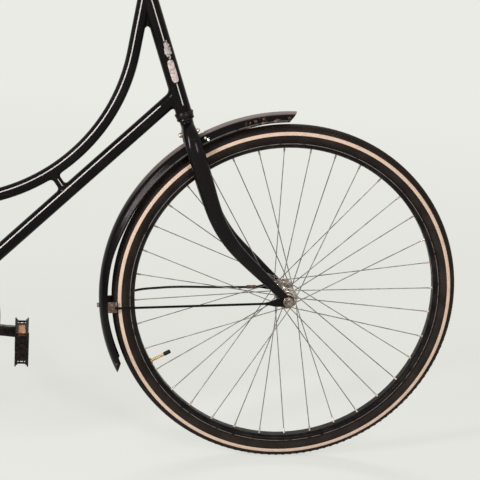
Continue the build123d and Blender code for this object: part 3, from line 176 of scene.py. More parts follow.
class ForkSizes(bpy.types.PropertyGroup):
    """Sizes of the fork and its headset."""

    neck_bottom: length("Neck bottom", "Lower end of the neck up the steering line", 0.368)
    neck_radius: length("Neck radius", "Radius of the neck", 0.0135)
    race_bottom: length("Race seat", "Lower end of the lower race", 0.402)
    spread: length("Blade spread", "Distance of a blade from the middle below the crown", 0.0395)
    half_depth: length("Blade half depth", "Half the blade's depth below the crown", 0.017)
    half_width: length("Blade half width", "Half the blade's width below the crown", 0.0125)
    tip_depth: length("Tip half depth", "Half the blade's depth at the tip", 0.0085)
    tip_width: length("Tip half width", "Half the blade's width at the tip", 0.006)
    bend_radius: length("Bend radius", "Radius of the blade's bend", 0.265)
    bend_corner: length("Bend corner", "Where the blade's two lines meet, above the axle", 0.1677)


class PaintTones(bpy.types.PropertyGroup):
    """Colours of the paint, rubber and metal."""

    enamel: colour("Enamel", "Black enamel of the frame", (0.0042, 0.0036, 0.0037))
    dust: colour("Dust", "Dust and dulled paint", (0.045, 0.040, 0.036))
    scratch: colour("Scratch", "Fine scratches in the enamel", (0.12, 0.11, 0.10))
    # Partly dust, partly a painted sky reflection: the lighter crest shown on the mudguards' upper
    # part
    crest: colour("Crest", "Dusty crest of a mudguard", (0.20, 0.155, 0.145))
    primer: colour("Primer", "Grey where the enamel has chipped off", (0.20, 0.175, 0.17))
    old_rust: colour("Old rust", "Dark rust in the chips", (0.085, 0.052, 0.040))
    fresh_rust: colour("Fresh rust", "Brighter rust in the chips", (0.19, 0.085, 0.042))
    lining: colour("Lining", "Thin painted lines on the frame", (0.56, 0.51, 0.49))
    rust: colour("Rust", "Rust blooms on bare steel", (0.35, 0.13, 0.035))
    # Used for real chips, and for a painted highlight along the mudguards' upper edges
    worn_and_glint: colour("Worn edge", "Pale line where the paint has rubbed off", (0.42, 0.38, 0.32))
    rubber: colour("Tyre rubber", "Brown-black rubber", (0.0135, 0.0100, 0.0085))
    wall_band: colour("Wall band", "Tan band on the tyre's wall", (0.70, 0.51, 0.40))
    dusty_rubber: colour("Dusty rubber", "Dust on the tyres", (0.040, 0.030, 0.026))
    steel: colour("Dull steel", "Galvanised spokes", (0.30, 0.285, 0.275))
    amber: colour("Amber lens", "Pedal reflectors", (0.80, 0.30, 0.04))
    red: colour("Red lens", "Rear reflector", (0.50, 0.015, 0.012))


def power(name, default):
    return bpy.props.FloatProperty(
        name=name, description="Power of the " + name.lower(), default=default, unit="POWER"
    )


class StageTones(bpy.types.PropertyGroup):
    """The floor, the lamps and the camera."""

    floor: colour("Floor", "Colour of the floor and backdrop", (0.823, 0.831, 0.783))
    key: power("Key lamp", 80)
    fill: power("Fill lamp", 52)
    sky: bpy.props.FloatProperty(
        name="Sky", description="Strength of the light from all round", default=0.32
    )
    even_near: share("Evening near", "How much the floor near the bicycle is evened out", 0.72)
    lens: bpy.props.FloatProperty(
        name="Lens", description="Focal length", default=134.35, unit="CAMERA"
    )
    eye: bpy.props.FloatVectorProperty(
        name="Camera place", description="Where the camera stands", subtype="XYZ", unit="LENGTH",
        size=3, default=(0.0394, -3.3981, 1.4228), precision=4,
    )
    yaw: angle("Camera yaw", "How far the camera looks to the right", 7.6468)
    pitch: angle("Camera pitch", "How far the camera looks down", 15.7311)
    roll: angle("Camera roll", "How far the camera is turned about its view", 3.5435)


# Meshes


class Form:
    """The points and faces of a piece while it is being made."""

    def __init__(self):
        self.points = []
        self.faces = []
        self.marks = {}

    def point(self, place, **marks):
        self.points.append(tuple(place))
        for name, value in marks.items():
            self.marks.setdefault(name, {})[len(self.points) - 1] = value
        return len(self.points) - 1

    def bridge(self, first, second, closed=True):
        """Joins two rings of points; a ring of one point is a pole."""
        count = max(len(first), len(second))
        for index in range(count if closed else count - 1):
            following = (index + 1) % count
            if len(first) == 1:
                self.faces.append((first[0], second[index], second[following]))
            elif len(second) == 1:
                self.faces.append((first[following], first[index], second[0]))
            else:
                self.faces.append(
                    (first[index], second[index], second[following], first[following])
                )

    def skin(self, rings, ends=True):
        """Joins a row of rings in turn and closes both ends."""
        for first, second in zip(rings, rings[1:]):
            self.bridge(first, second)
        if ends:
            self.faces += [tuple(rings[0]), tuple(rings[-1])]

    def finish(self, name, material, sharp=32, closed=True):
        """Makes the object, with its faces turned outwards."""
        mesh = bpy.data.meshes.new(name)
        mesh.from_pydata(self.points, [], self.faces)
        for mark, values in self.marks.items():
            layer = mesh.attributes.new(mark, "FLOAT", "POINT")
            for index, value in values.items():
                layer.data[index].value = value
        piece = bpy.data.objects.new(name, mesh)
        bpy.context.scene.collection.objects.link(piece)
        mesh.materials.append(material)
        tidy(piece, closed)
        smooth(piece, sharp)
        return piece


def tidy(piece, closed=True):
    """Merges doubles and turns the faces outwards."""
    work = bmesh.new()
    work.from_mesh(piece.data)
    bmesh.ops.remove_doubles(work, verts=work.verts, dist=2e-6)
    if closed:
        bmesh.ops.recalc_face_normals(work, faces=work.faces)
    work.to_mesh(piece.data)
    work.free()


def smooth(piece, sharp=32):
    """Shades a mesh smooth except at its sharp edges."""
    piece.data.shade_smooth()
    piece.data.set_sharp_from_angle(angle=radians(sharp))


def ring(form, centre, axis, radius, segments, start=None):
    """A ring of points round an axis."""
    axis = Vector(axis).normalized()
    side = start - axis * start.dot(axis) if start else axis.orthogonal()
    side.normalize()
    other = axis.cross(side)
    turns = [2 * pi * step / segments for step in range(segments)]
    return [form.point(centre + (side * cos(turn) + other * sin(turn)) * radius) for turn in turns]


def lathe(form, centre, axis, profile, segments=48, loop=False):
    """Turns a profile of (along, radius) pairs round an axis."""
    axis = Vector(axis).normalized()
    rings = []
    for along, radius in profile:
        where = centre + axis * along
        if radius <= 1e-7:
            rings.append([form.point(where)])
        else:
            rings.append(ring(form, where, axis, radius, segments))
    form.skin(rings + rings[:1] if loop else rings, ends=False)
    if not loop:
        form.faces += [tuple(end) for end in (rings[0], rings[-1]) if len(end) > 1]
    return form


def rounded(corners_list, radius, steps=4, loop=False):
    """A profile of (along, radius) corners with its corners rounded."""
    result = []
    count = len(corners_list)
    for index, corner in enumerate(corners_list):
        if not loop and index in (0, count - 1):
            result.append(corner)
            continue
        here = Vector(corner)
        before = Vector(corners_list[index - 1]) - here
        after = Vector(corners_list[(index + 1) % count]) - here
        reach = min(radius, before.length * 0.45, after.length * 0.45)
        if reach < 1e-6 or before.angle(after) > radians(176):
            result.append(corner)
            continue
        start = here + before.normalized() * reach
        end = here + after.normalized() * reach
        for step in range(steps + 1):
            t = step / steps
            place = start * (1 - t) ** 2 + here * 2 * t * (1 - t) + end * t**2
            result.append(tuple(place))
    return result


def frames(points):
    """A direction and a side for each point of a path, turned as little as possible."""
    count = len(points)
    headings = []
    for index in range(count):
        ahead = points[min(index + 1, count - 1)] - points[max(index - 1, 0)]
        headings.append(ahead.normalized())
    side = headings[0].orthogonal().normalized()
    result = []
    for heading in headings:
        side = (side - heading * side.dot(heading)).normalized()
        result.append((heading, side))
    return result


def tube(form, points, radius, segments=12, capped=True):
    """A round bar along points; the radius is one number or one for each point."""
    points = [Vector(p) for p in points]
    radii = radius if isinstance(radius, (list, tuple)) else [radius] * len(points)
    rings = []
    for place, (heading, side), size in zip(points, frames(points), radii):
        rings.append(ring(form, place, heading, size, segments, side))
    form.skin(rings, ends=capped)
    return form


def arc_path(corner_points, radii, step=radians(6)):
    """Straight runs joined by tangent arcs, as points."""
    corner_points = [Vector(p) for p in corner_points]
    if not isinstance(radii, (list, tuple)):
        radii = [radii] * (len(corner_points) - 2)
    path = [corner_points[0]]
    for before, here, after, radius in zip(
        corner_points, corner_points[1:], corner_points[2:], radii
    ):
        first = (before - here).normalized()
        second = (after - here).normalized()
        opening = first.angle(second)
        turn = pi - opening
        reach = radius * tan(turn / 2)
        centre = here + (first + second).normalized() * (radius / sin(opening / 2))
        start = here + first * reach - centre
        axis = start.cross(here + second * reach - centre).normalized()
        count = max(2, int(turn / step) + 1)
        for index in range(count + 1):
            path.append(centre + Matrix.Rotation(turn * index / count, 3, axis) @ start)
    path.append(corner_points[-1])
    return path


def hexagon(form, centre, axis, width, height, bevel=0.0012):
    """A chamfered nut or bolt head on a face, as a ring of six flats."""
    axis = Vector(axis).normalized()
    side = axis.orthogonal().normalized()
    other = axis.cross(side)
    inner, outer = width / 2, width / sqrt(3)
    rings = []
    for along, largest, scale in ((0, outer, 1), (height - bevel, outer, 1), (height, inner, 0.96)):
        row = []
        for step in range(24):
            turn = 2 * pi * step / 24
            size = min(inner / cos((turn + pi / 6) % (pi / 3) - pi / 6), largest) * scale
            out = side * cos(turn) + other * sin(turn)
            row.append(form.point(centre + axis * along + out * size))
        rings.append(row)
    form.skin(rings)
    return form


def block(form, centre, x_dir, y_dir, z_dir, sizes):
    """A box by its middle, three directions and three sizes."""
    half = [Vector(direction) * size / 2 for direction, size in zip((x_dir, y_dir, z_dir), sizes)]
    index = {}
    for i in (-1, 1):
        for j in (-1, 1):
            for k in (-1, 1):
                index[i, j, k] = form.point(centre + half[0] * i + half[1] * j + half[2] * k)
    for fixed in range(3):
        for sign in (-1, 1):
            a, b = [n for n in range(3) if n != fixed]
            loop = []
            for u, v in ((-1, -1), (1, -1), (1, 1), (-1, 1)):
                key = [0, 0, 0]
                key[fixed], key[a], key[b] = sign, u, v
                loop.append(index[tuple(key)])
            form.faces.append(tuple(loop))
    return form


def bevelled(piece, width, segments=2, limit=30):
    """Rounds a piece's sharp edges in its mesh."""
    work = bmesh.new()
    work.from_mesh(piece.data)
    edges = [
        edge for edge in work.edges
        if len(edge.link_faces) == 2 and edge.calc_face_angle(0) > radians(limit)
    ]
    bmesh.ops.bevel(
        work, geom=edges, offset=width, segments=segments, profile=0.5, affect="EDGES",
        clamp_overlap=True,
    )
    bmesh.ops.remove_doubles(work, verts=work.verts, dist=1e-6)
    work.to_mesh(piece.data)
    work.free()
    smooth(piece)
    return piece


def modified(piece, kind, **settings):
    """Adds a modifier, sets it and applies it to the mesh."""
    modifier = piece.modifiers.new(kind.title(), kind)
    for name, value in settings.items():
        setattr(modifier, name, value)
    return settled(piece)


def settled(piece):
    """Turns a piece with modifiers into a plain mesh."""
    bpy.context.view_layer.update()
    graph = bpy.context.evaluated_depsgraph_get()
    mesh = bpy.data.meshes.new_from_object(
        piece.evaluated_get(graph), preserve_all_data_layers=True, depsgraph=graph
    )
    piece.modifiers.clear()
    old = piece.data
    mesh.name = old.name + ".built"
    piece.data = mesh
    bpy.data.meshes.remove(old)
    return piece


def declare(piece, body, slot_name, *nodes):
    """Attaches a piece to the body it rides on and hides the nodes it stands for; the slot name is
    not used.
    """
    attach(piece, body)
    if nodes:
        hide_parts(*nodes)
    return piece


def build(form, name, finish_name, body, slot_name, *nodes, sharp=32):
    return declare(form.finish(name, finish(finish_name), sharp), body, slot_name, *nodes)


# Node trees


class Wiring:
    """A node tree while its nodes are being wired together."""

    def __init__(self, tree):
        self.nodes, self.links = tree.nodes, tree.links

    def node(self, kind, links=(), output=0, **settings):
        """Adds a node with its settings and inputs, and gives one of its outputs."""
        made = self.nodes.new(kind)
        for name, value in settings.items():
            setattr(made, name, value)
        for socket, source in dict(links).items():
            if isinstance(source, bpy.types.NodeSocket):
                self.links.new(source, made.inputs[socket])
            else:
                made.inputs[socket].default_value = source
        return made.outputs[output]

    def math(self, operation, first, second=0.0):
        return self.node("ShaderNodeMath", {0: first, 1: second}, operation=operation)

    def times(self, first, second):
        return self.math("MULTIPLY", first, second)

    def seen_directly(self):
        """1 on rays that show a surface itself: the camera's, and those mirrored or let through."""
        ray = self.nodes.new("ShaderNodeLightPath").outputs
        seen = self.math("MAXIMUM", ray["Is Camera Ray"], ray["Is Glossy Ray"])
        return self.math("MAXIMUM", seen, ray["Is Transmission Ray"])


class Tree(Wiring):
    """A geometry node tree that ends in plain meshes with a material."""

    def __init__(self, name, sockets):
        self.group = bpy.data.node_groups.new(name, "GeometryNodeTree")
        super().__init__(self.group)
        face = self.group.interface
        for label, kind in (("Geometry", "Geometry"), *sockets, ("Finish", "Material")):
            face.new_socket(label, in_out="INPUT", socket_type="NodeSocket" + kind)
        face.new_socket("Geometry", in_out="OUTPUT", socket_type="NodeSocketGeometry")
        self.start = self.nodes.new("NodeGroupInput").outputs

    def close(self, geometry):
        """Realises the instances, sets the material and ends the tree."""
        real = self.node("GeometryNodeRealizeInstances", {0: geometry})
        painted = self.node(
            "GeometryNodeSetMaterial", {"Geometry": real, "Material": self.start["Finish"]}
        )
        self.links.new(painted, self.nodes.new("NodeGroupOutput").inputs[0])
        return self.group


def round_axle_tree(name):
    """Repeats a piece round an axis."""
    work = Tree(name, [
        ("Count", "Int"), ("Centre", "Vector"), ("Axis", "Vector"), ("Step", "Float"),
    ])
    start = work.start
    back = work.node(
        "ShaderNodeVectorMath", {0: (0, 0, 0), 1: start["Centre"]}, operation="SUBTRACT"
    )
    moved = work.node(
        "GeometryNodeTransform", {"Geometry": start["Geometry"], "Translation": back}
    )
    places = work.node(
        "GeometryNodePoints", {"Count": start["Count"], "Position": start["Centre"]}
    )
    turn = work.times(work.node("GeometryNodeInputIndex"), start["Step"])
    spin = work.node("FunctionNodeAxisAngleToRotation", {"Axis": start["Axis"], "Angle": turn})
    return work.close(work.node("GeometryNodeInstanceOnPoints", {
        "Points": places, "Instance": moved, "Rotation": spin,
    }))


def along_line_tree(name):
    """Repeats a piece along a straight line."""
    work = Tree(name, [("Count", "Int"), ("Offset", "Vector")])
    start = work.start
    line = work.node("GeometryNodeMeshLine", {
        "Count": start["Count"], "Start Location": (0, 0, 0), "Offset": start["Offset"],
    }, mode="OFFSET")
    return work.close(work.node(
        "GeometryNodeInstanceOnPoints", {"Points": line, "Instance": start["Geometry"]}
    ))


def coil_tree(name):
    """A round wire coiled about a line."""
    work = Tree(name, [
        ("Turns", "Float"), ("Radius", "Float"), ("Wire", "Float"), ("Height", "Float"),
        ("Foot", "Vector"),
    ])
    start = work.start
    spiral = work.node("GeometryNodeCurveSpiral", {
        "Resolution": 24, "Rotations": start["Turns"], "Start Radius": start["Radius"],
        "End Radius": start["Radius"], "Height": start["Height"],
    })
    section = work.node(
        "GeometryNodeCurvePrimitiveCircle", {"Resolution": 8, "Radius": start["Wire"]},
        mode="RADIUS",
    )
    wire = work.node("GeometryNodeCurveToMesh", {
        "Curve": spiral, "Profile Curve": section, "Fill Caps": True,
    })
    shaded = work.node("GeometryNodeSetShadeSmooth", {"Geometry": wire})
    return work.close(work.node(
        "GeometryNodeTransform", {"Geometry": shaded, "Translation": start["Foot"]}
    ))


TREES = {
    "Repeat round an axis": round_axle_tree,
    "Repeat along a line": along_line_tree,
    "Coil": coil_tree,
}


def grown(piece, tree_name, sharp=32, **values):
    """Runs a node tree on a piece with its inputs set, and keeps the plain mesh."""
    group = bpy.data.node_groups.get(tree_name) or TREES[tree_name](tree_name)
    values["Finish"] = piece.data.materials[0]
    modifier = piece.modifiers.new(group.name, "NODES")
    modifier.node_group = group
    sockets = {item.name: item for item in group.interface.items_tree if item.in_out == "INPUT"}
    for label, value in values.items():
        if sockets[label].socket_type == "NodeSocketVector":
            value = tuple(value)
        modifier[sockets[label].identifier] = value
    settled(piece)
    tidy(piece)
    smooth(piece, sharp)
    return piece


# Finishes


def tones():
    """The colours set in the panel."""
    return bpy.context.scene.bicycle_tones


class Finish(Wiring):
    """A material while it is being wired."""

    def __init__(self, name, **values):
        self.material = bpy.data.materials.new(name)
        self.material.use_nodes = True
        super().__init__(self.material.node_tree)
        self.shader = self.nodes["Principled BSDF"]
        self.place = self.nodes.new("ShaderNodeTexCoord").outputs["Object"]
        for label, value in values.items():
            self.shader.inputs[label.replace("_", " ")].default_value = value

    def noise(self, scale, detail=3.0, vector=None):
        return self.node("ShaderNodeTexNoise", {
            "Vector": vector or self.place, "Scale": scale, "Detail": detail,
        })

    def cells(self, scale, **values):
        return self.node("ShaderNodeTexVoronoi", {
            "Vector": self.place, "Scale": scale, **values,
        })

    def fade(self, value, low, high, bottom=0.0, top=1.0):
        """Runs smoothly from bottom to top as the value runs from low to high."""
        return self.node("ShaderNodeMapRange", {
            "Value": value, "From Min": low, "From Max": high, "To Min": bottom, "To Max": top,
        }, interpolation_type="SMOOTHSTEP")

    def between(self, value, low, high, edge):
        """1 between two values, falling to 0 over an edge outside each."""
        return self.times(
            self.fade(value, low - edge, low), self.fade(value, high + edge, high)
        )

    def mix(self, factor, first, second):
        def four(value):
            return value if isinstance(value, bpy.types.NodeSocket) else (*value, 1.0)

        return self.node("ShaderNodeMix", {
            0: factor, 6: four(first), 7: four(second),
        }, output=2, data_type="RGBA")

    def vector(self, operation, first, second, output=0):
        return self.node(
            "ShaderNodeVectorMath", {0: first, 1: tuple(second)}, output, operation=operation
        )

    def about_axle(self, centre):
        """The distance from an axle, the distance along it and the angle round it."""
        parts = self.nodes.new("ShaderNodeSeparateXYZ")
        self.links.new(self.vector("SUBTRACT", self.place, centre), parts.inputs[0])
        x, y, z = parts.outputs
        flat = self.math("ADD", self.times(x, x), self.times(z, z))
        return self.math("SQRT", flat), y, self.math("ARCTAN2", z, x)

    def bump(self, height, strength, distance=0.0005):
        normal = self.node("ShaderNodeBump", {
            "Height": height, "Strength": strength, "Distance": distance,
        })
        self.links.new(normal, self.shader.inputs["Normal"])

    def wire(self, **sources):
        for label, source in sources.items():
            self.links.new(source, self.shader.inputs[label.replace("_", " ")])
        return self.material


WARM_GLINT = (1, 0.85, 0.8, 1)


def enamel(name, worn_and_glint=False, gloss=0.09, labels=False, shine=0.085):
    """Black stove enamel with dust, fine scratches, chips and worn places; on the mudguards also a
    painted sheen on the crest and painted highlights along the edges.
    """
    tone = tones()
    paint = Finish(name, Specular_IOR_Level=shine, Specular_Tint=(0.95, 0.80, 0.86, 1))
    dusty = paint.fade(paint.noise(9, 6), 0.50, 0.78, 0.0, 0.16)
    base = paint.mix(dusty, tone.enamel, tone.dust)
    stretched = paint.node("ShaderNodeMapping", {
        "Vector": paint.place, "Scale": (0.06, 1, 1), "Rotation": (0.3, 0.6, 0.4),
    })
    scratched = paint.fade(paint.noise(420, 2, stretched), 0.69, 0.74, 0.0, 0.16)
    base = paint.mix(scratched, base, tone.scratch)
    chipped = paint.times(
        paint.fade(paint.cells(110.0), 0.08, 0.05), paint.fade(paint.noise(14), 0.66, 0.72)
    )
    base = paint.mix(chipped, base, tone.worn_and_glint)
    rough = paint.fade(paint.noise(30, 5), 0.3, 0.75, gloss, gloss + 0.14)
    if worn_and_glint:
        base, rough = rust_chips(paint, *worn_crest_and_sheen(paint, base, rough))
    if labels:
        base, rough = label_marks(paint, base, rough)
    paint.bump(paint.noise(700), 0.04, 0.0003)
    return paint.wire(Base_Color=base, Roughness=rough)


def worn_crest_and_sheen(paint, base, rough):
    """The mudguard's crest, partly dust and partly a painted sky reflection on the upper part, and
    pale lines along its upper edges, partly rubbed paint and partly a painted highlight.
    """
    mark = paint.node("ShaderNodeAttribute", attribute_name="across", output=2)
    across = paint.math("ABSOLUTE", mark)
    height = paint.node("ShaderNodeSeparateXYZ", {0: paint.place}, output=2)
    # Painted highlight, partly rubbed paint: a pale broken line along each rolled edge, only on the
    # upper part
    line = paint.times(paint.fade(across, 0.875, 0.905), paint.fade(across, 0.965, 0.945))
    line = paint.times(line, paint.fade(height, 0.42, 0.58, 0.0, 0.22))
    line = paint.times(line, paint.fade(paint.noise(45, 5), 0.30, 0.46))
    base = paint.mix(line, base, tones().worn_and_glint)
    # Painted sky reflection, partly dust: a lighter band along the crest, only on the upper part
    crest = paint.times(paint.fade(across, 0.50, 0.36), paint.fade(height, 0.50, 0.68))
    crest = paint.times(crest, paint.fade(paint.noise(30, 5), 0.20, 0.50, 0.55, 0.95))
    base = paint.mix(crest, base, tones().crest)
    return base, paint.math("MAXIMUM", rough, paint.times(crest, 0.55))


# Rust chips on the mudguards: axle, radius, angle in degrees, side and reach
RUST_CHIPS = (
    (FRONT_AXLE, 0.3595, 104.5, -0.025, 0.017),
    (FRONT_AXLE, 0.3640, 101.5, -0.023, 0.013),
    (FRONT_AXLE, 0.3640, 96.5, -0.023, 0.012),
    (FRONT_AXLE, 0.3610, 92.8, -0.024, 0.010),
    (FRONT_AXLE, 0.3600, 204.5, -0.024, 0.014),
    (REAR_AXLE, 0.3640, 160.0, 0.022, 0.020),
    (REAR_AXLE, 0.3600, 35.0, -0.024, 0.014),
)


def rust_chips(paint, base, rough):
    """Grey and rusty places where the mudguards' enamel has chipped off."""
    tone = tones()
    for axle, radius, degrees, side, reach in RUST_CHIPS:
        centre = around(axle, radius, radians(degrees), side)
        gap = paint.vector("DISTANCE", paint.place, centre, output=1)
        near = paint.fade(gap, reach, reach * 0.4)
        spot = paint.times(near, paint.fade(paint.noise(150, 5), 0.50, 0.56))
        fresh = paint.fade(paint.noise(210), 0.40, 0.62)
        bare = paint.fade(paint.noise(330), 0.52, 0.60)
        bloom = paint.mix(fresh, tone.old_rust, tone.fresh_rust)
        base = paint.mix(spot, base, paint.mix(bare, bloom, tone.primer))
        rough = paint.math("MAXIMUM", rough, paint.times(spot, 0.75))
    return base, rough


# Torn labels on the head tube: bottom, top, first and last turn, ragged edges, tone
LABELS = (
    (0.4805, 0.5260, -0.26, 0.60, False, (0.64, 0.53, 0.49)),
    (0.5310, 0.5620, -0.05, 0.66, True, (0.52, 0.47, 0.44)),
)
LABEL_STAIN = (0.22, 0.17, 0.16)


def label_marks(paint, base, rough):
    """Pale marks on the head tube's right side, where paper labels have torn away."""
    shifted = paint.vector("SUBTRACT", paint.place, STEER_FOOT)
    up, fore, side = (
        paint.vector("DOT_PRODUCT", shifted, direction, output=1)
        for direction in (STEER_UP, STEER_FORE, -LEFT)
    )
    turn = paint.math("ARCTAN2", fore, side)
    torn = paint.times(paint.math("SUBTRACT", paint.noise(130, 5), 0.5), 0.030)
    ragged_up = paint.math("ADD", up, torn)
    ragged_turn = paint.math("ADD", turn, paint.times(torn, 34.0))

    def falling(value, low, high, power):
        """0 midway between two values and 1 at both, as a power of the distance."""
        gap = paint.math("SUBTRACT", value, (low + high) / 2)
        part = paint.math("DIVIDE", gap, (high - low) / 2)
        return paint.math("POWER", paint.math("ABSOLUTE", part), power)

    for low, high, first, last, ragged, tone in LABELS:
        tall = falling(ragged_up if ragged else up, low, high, 5.0)
        wide = falling(ragged_turn if ragged else turn, first, last, 3.0)
        inside = paint.fade(paint.math("ADD", tall, wide), 1.08, 0.92)
        stained = paint.fade(paint.noise(190, 5), 0.40, 0.70, 0.0, 0.75)
        base = paint.mix(inside, base, paint.mix(stained, tone, LABEL_STAIN))
        rough = paint.math("MAXIMUM", rough, paint.times(inside, 0.55))
    return base, rough


def tyre_rubber(name, centre):
    """Brown-black rubber with a tan band moulded on each wall."""
    tone, width = tones(), bpy.context.scene.bicycle_wheels.tyre_width
    rubber = Finish(name, Specular_IOR_Level=0.07, Specular_Tint=WARM_GLINT)
    radius, across, turn = rubber.about_axle(centre)
    band = rubber.between(radius, 0.3294, 0.3356, 0.0006)
    wall = rubber.fade(rubber.math("ABSOLUTE", across), width * 0.40, width * 0.44)
    grime = rubber.noise(24, 6)
    dark = rubber.mix(
        rubber.fade(grime, 0.4, 0.7, 0.0, 0.5), tone.rubber, tone.dusty_rubber
    )
    ribs = rubber.math("SINE", rubber.times(radius, 2700.0))
    dark = rubber.mix(rubber.fade(ribs, 0.0, 0.9, 0.0, 0.28), dark, (0.052, 0.040, 0.035))
    stained = rubber.fade(rubber.noise(60, 5), 0.40, 0.75, 0.0, 0.40)
    pale = rubber.mix(stained, tone.wall_band, (0.50, 0.35, 0.26))
    base = rubber.mix(rubber.times(band, wall), dark, pale)
    slant = rubber.math("ADD", turn, rubber.times(radius, 3.0))
    threads = rubber.times(rubber.math("SINE", rubber.times(slant, 1400.0)), 0.25)
    rubber.bump(rubber.math("ADD", threads, rubber.noise(900, 2)), 0.12, 0.0003)
    rough = rubber.fade(grime, 0.3, 0.8, 0.48, 0.72)
    return rubber.wire(Base_Color=base, Roughness=rough)


def rim_paint(name, centre):
    """Black rim with a thin pale line outside its inner edge."""
    paint = Finish(name, Specular_IOR_Level=0.07, Specular_Tint=WARM_GLINT)
    radius, _, _ = paint.about_axle(centre)
    line = paint.between(radius, 0.3114, 0.3120, 0.0004)
    line = paint.times(line, paint.fade(paint.noise(70, 4), 0.30, 0.50))
    dusty = paint.fade(paint.noise(40, 6), 0.42, 0.70, 0.0, 0.35)
    base = paint.mix(dusty, (0.006, 0.005, 0.005), (0.034, 0.028, 0.025))
    base = paint.mix(paint.times(line, 0.6), base, (0.34, 0.30, 0.28))
    paint.bump(paint.noise(600), 0.06, 0.0003)
    rough = paint.fade(paint.noise(90, 4), 0.3, 0.7, 0.20, 0.48)
    return paint.wire(Base_Color=base, Roughness=rough)


def metal(name, bright, dull, rough, spots, scale=60, spot_tone=(0.20, 0.08, 0.03)):
    """Bare or plated metal with tarnish, brushing and rust freckles."""
    steel = Finish(name, Metallic=1.0)
    tarnish = steel.fade(steel.noise(scale, 6), 0.35, 0.70)
    level = 0.66 - spots * 0.15
    freckles = steel.fade(steel.noise(scale * 6, 4), level, level + 0.08)
    base = steel.mix(freckles, steel.mix(tarnish, bright, dull), spot_tone)
    brushed = steel.noise(500, 2)
    steel.bump(brushed, 0.08, 0.0002)
    return steel.wire(
        Base_Color=base, Metallic=steel.math("SUBTRACT", 1.0, steel.times(freckles, 0.8)),
        Roughness=steel.fade(steel.math("ADD", tarnish, brushed), 0.4, 1.5, rough, rough + 0.22),
    )


def spoke_steel(name):
    """Galvanised wire."""
    return metal(name, tones().steel, (0.18, 0.165, 0.155), 0.60, 0.2)


def rubber_finish(name, tone, grain, rough=0.62):
    """Moulded rubber, dusty in patches."""
    rubber = Finish(name, Specular_IOR_Level=0.12, Specular_Tint=WARM_GLINT)
    dusty = rubber.fade(rubber.noise(35, 6), 0.45, 0.75, 0.0, 0.45)
    rubber.bump(rubber.noise(grain), 0.25, 0.0004)
    return rubber.wire(
        Base_Color=rubber.mix(dusty, tone, (0.050, 0.044, 0.041)),
        Roughness=rubber.fade(rubber.noise(80, 4), 0.3, 0.7, rough - 0.1, rough + 0.1),
    )


def lining_paint(name):
    """Cream lining paint, rubbed thin in places."""
    paint = Finish(name, Specular_IOR_Level=0.3)
    thin = paint.fade(paint.noise(70, 5), 0.56, 0.74, 0.0, 0.55)
    paint.bump(paint.noise(900, 2), 0.05, 0.0002)
    return paint.wire(
        Base_Color=paint.mix(thin, tones().lining, (0.30, 0.24, 0.21)),
        Roughness=paint.fade(paint.noise(90, 4), 0.3, 0.7, 0.25, 0.45),
    )


def vinyl(name):
    """Grained black saddle cover, shinier in patches."""
    cover = Finish(name, Sheen_Weight=0.05)
    grain = cover.math("ADD", cover.cells(620.0), cover.times(cover.noise(1400, 2), 0.4))
    creases = cover.times(cover.fade(cover.noise(26, 6), 0.47, 0.53), 0.3)
    cover.bump(cover.math("ADD", grain, creases), 0.35, 0.0005)
    faded = cover.fade(cover.noise(16, 5), 0.4, 0.7)
    return cover.wire(
        Base_Color=cover.mix(faded, (0.012, 0.012, 0.012), (0.034, 0.031, 0.029)),
        Roughness=cover.fade(cover.noise(20, 5), 0.35, 0.65, 0.32, 0.52),
    )


def prism_lens(name, tone_name):
    """Moulded lens with small corner prisms behind a smooth face."""
    pitch = 0.0022
    tone = getattr(tones(), tone_name)
    lens = Finish(name, Coat_Weight=0.2, Coat_Roughness=0.04, Specular_IOR_Level=0.2)
    prisms = lens.cells(1 / pitch, Randomness=0.15)
    lens.bump(prisms, 0.5, 0.0006)
    return lens.wire(
        Base_Color=lens.mix(
            lens.fade(prisms, 0.15, 0.75), tone, [value * 0.35 for value in tone]
        ),
        Roughness=lens.fade(lens.noise(200), 0.3, 0.7, 0.14, 0.28),
    )


def rusty(name):
    """Bare steel rusted brown, with orange blooms."""
    steel = Finish(name, Metallic=0.25)
    blooms = steel.fade(steel.noise(160, 6), 0.40, 0.62)
    base = steel.mix(blooms, (0.055, 0.038, 0.030), (0.15, 0.085, 0.050))
    base = steel.mix(steel.fade(steel.noise(110, 4), 0.50, 0.62), base, (0.24, 0.21, 0.19))
    base = steel.mix(steel.fade(steel.noise(240, 4), 0.62, 0.70), base, tones().rust)
    steel.bump(steel.noise(420, 5), 0.45, 0.0006)
    return steel.wire(Base_Color=base, Roughness=steel.fade(blooms, 0, 1, 0.55, 0.85))


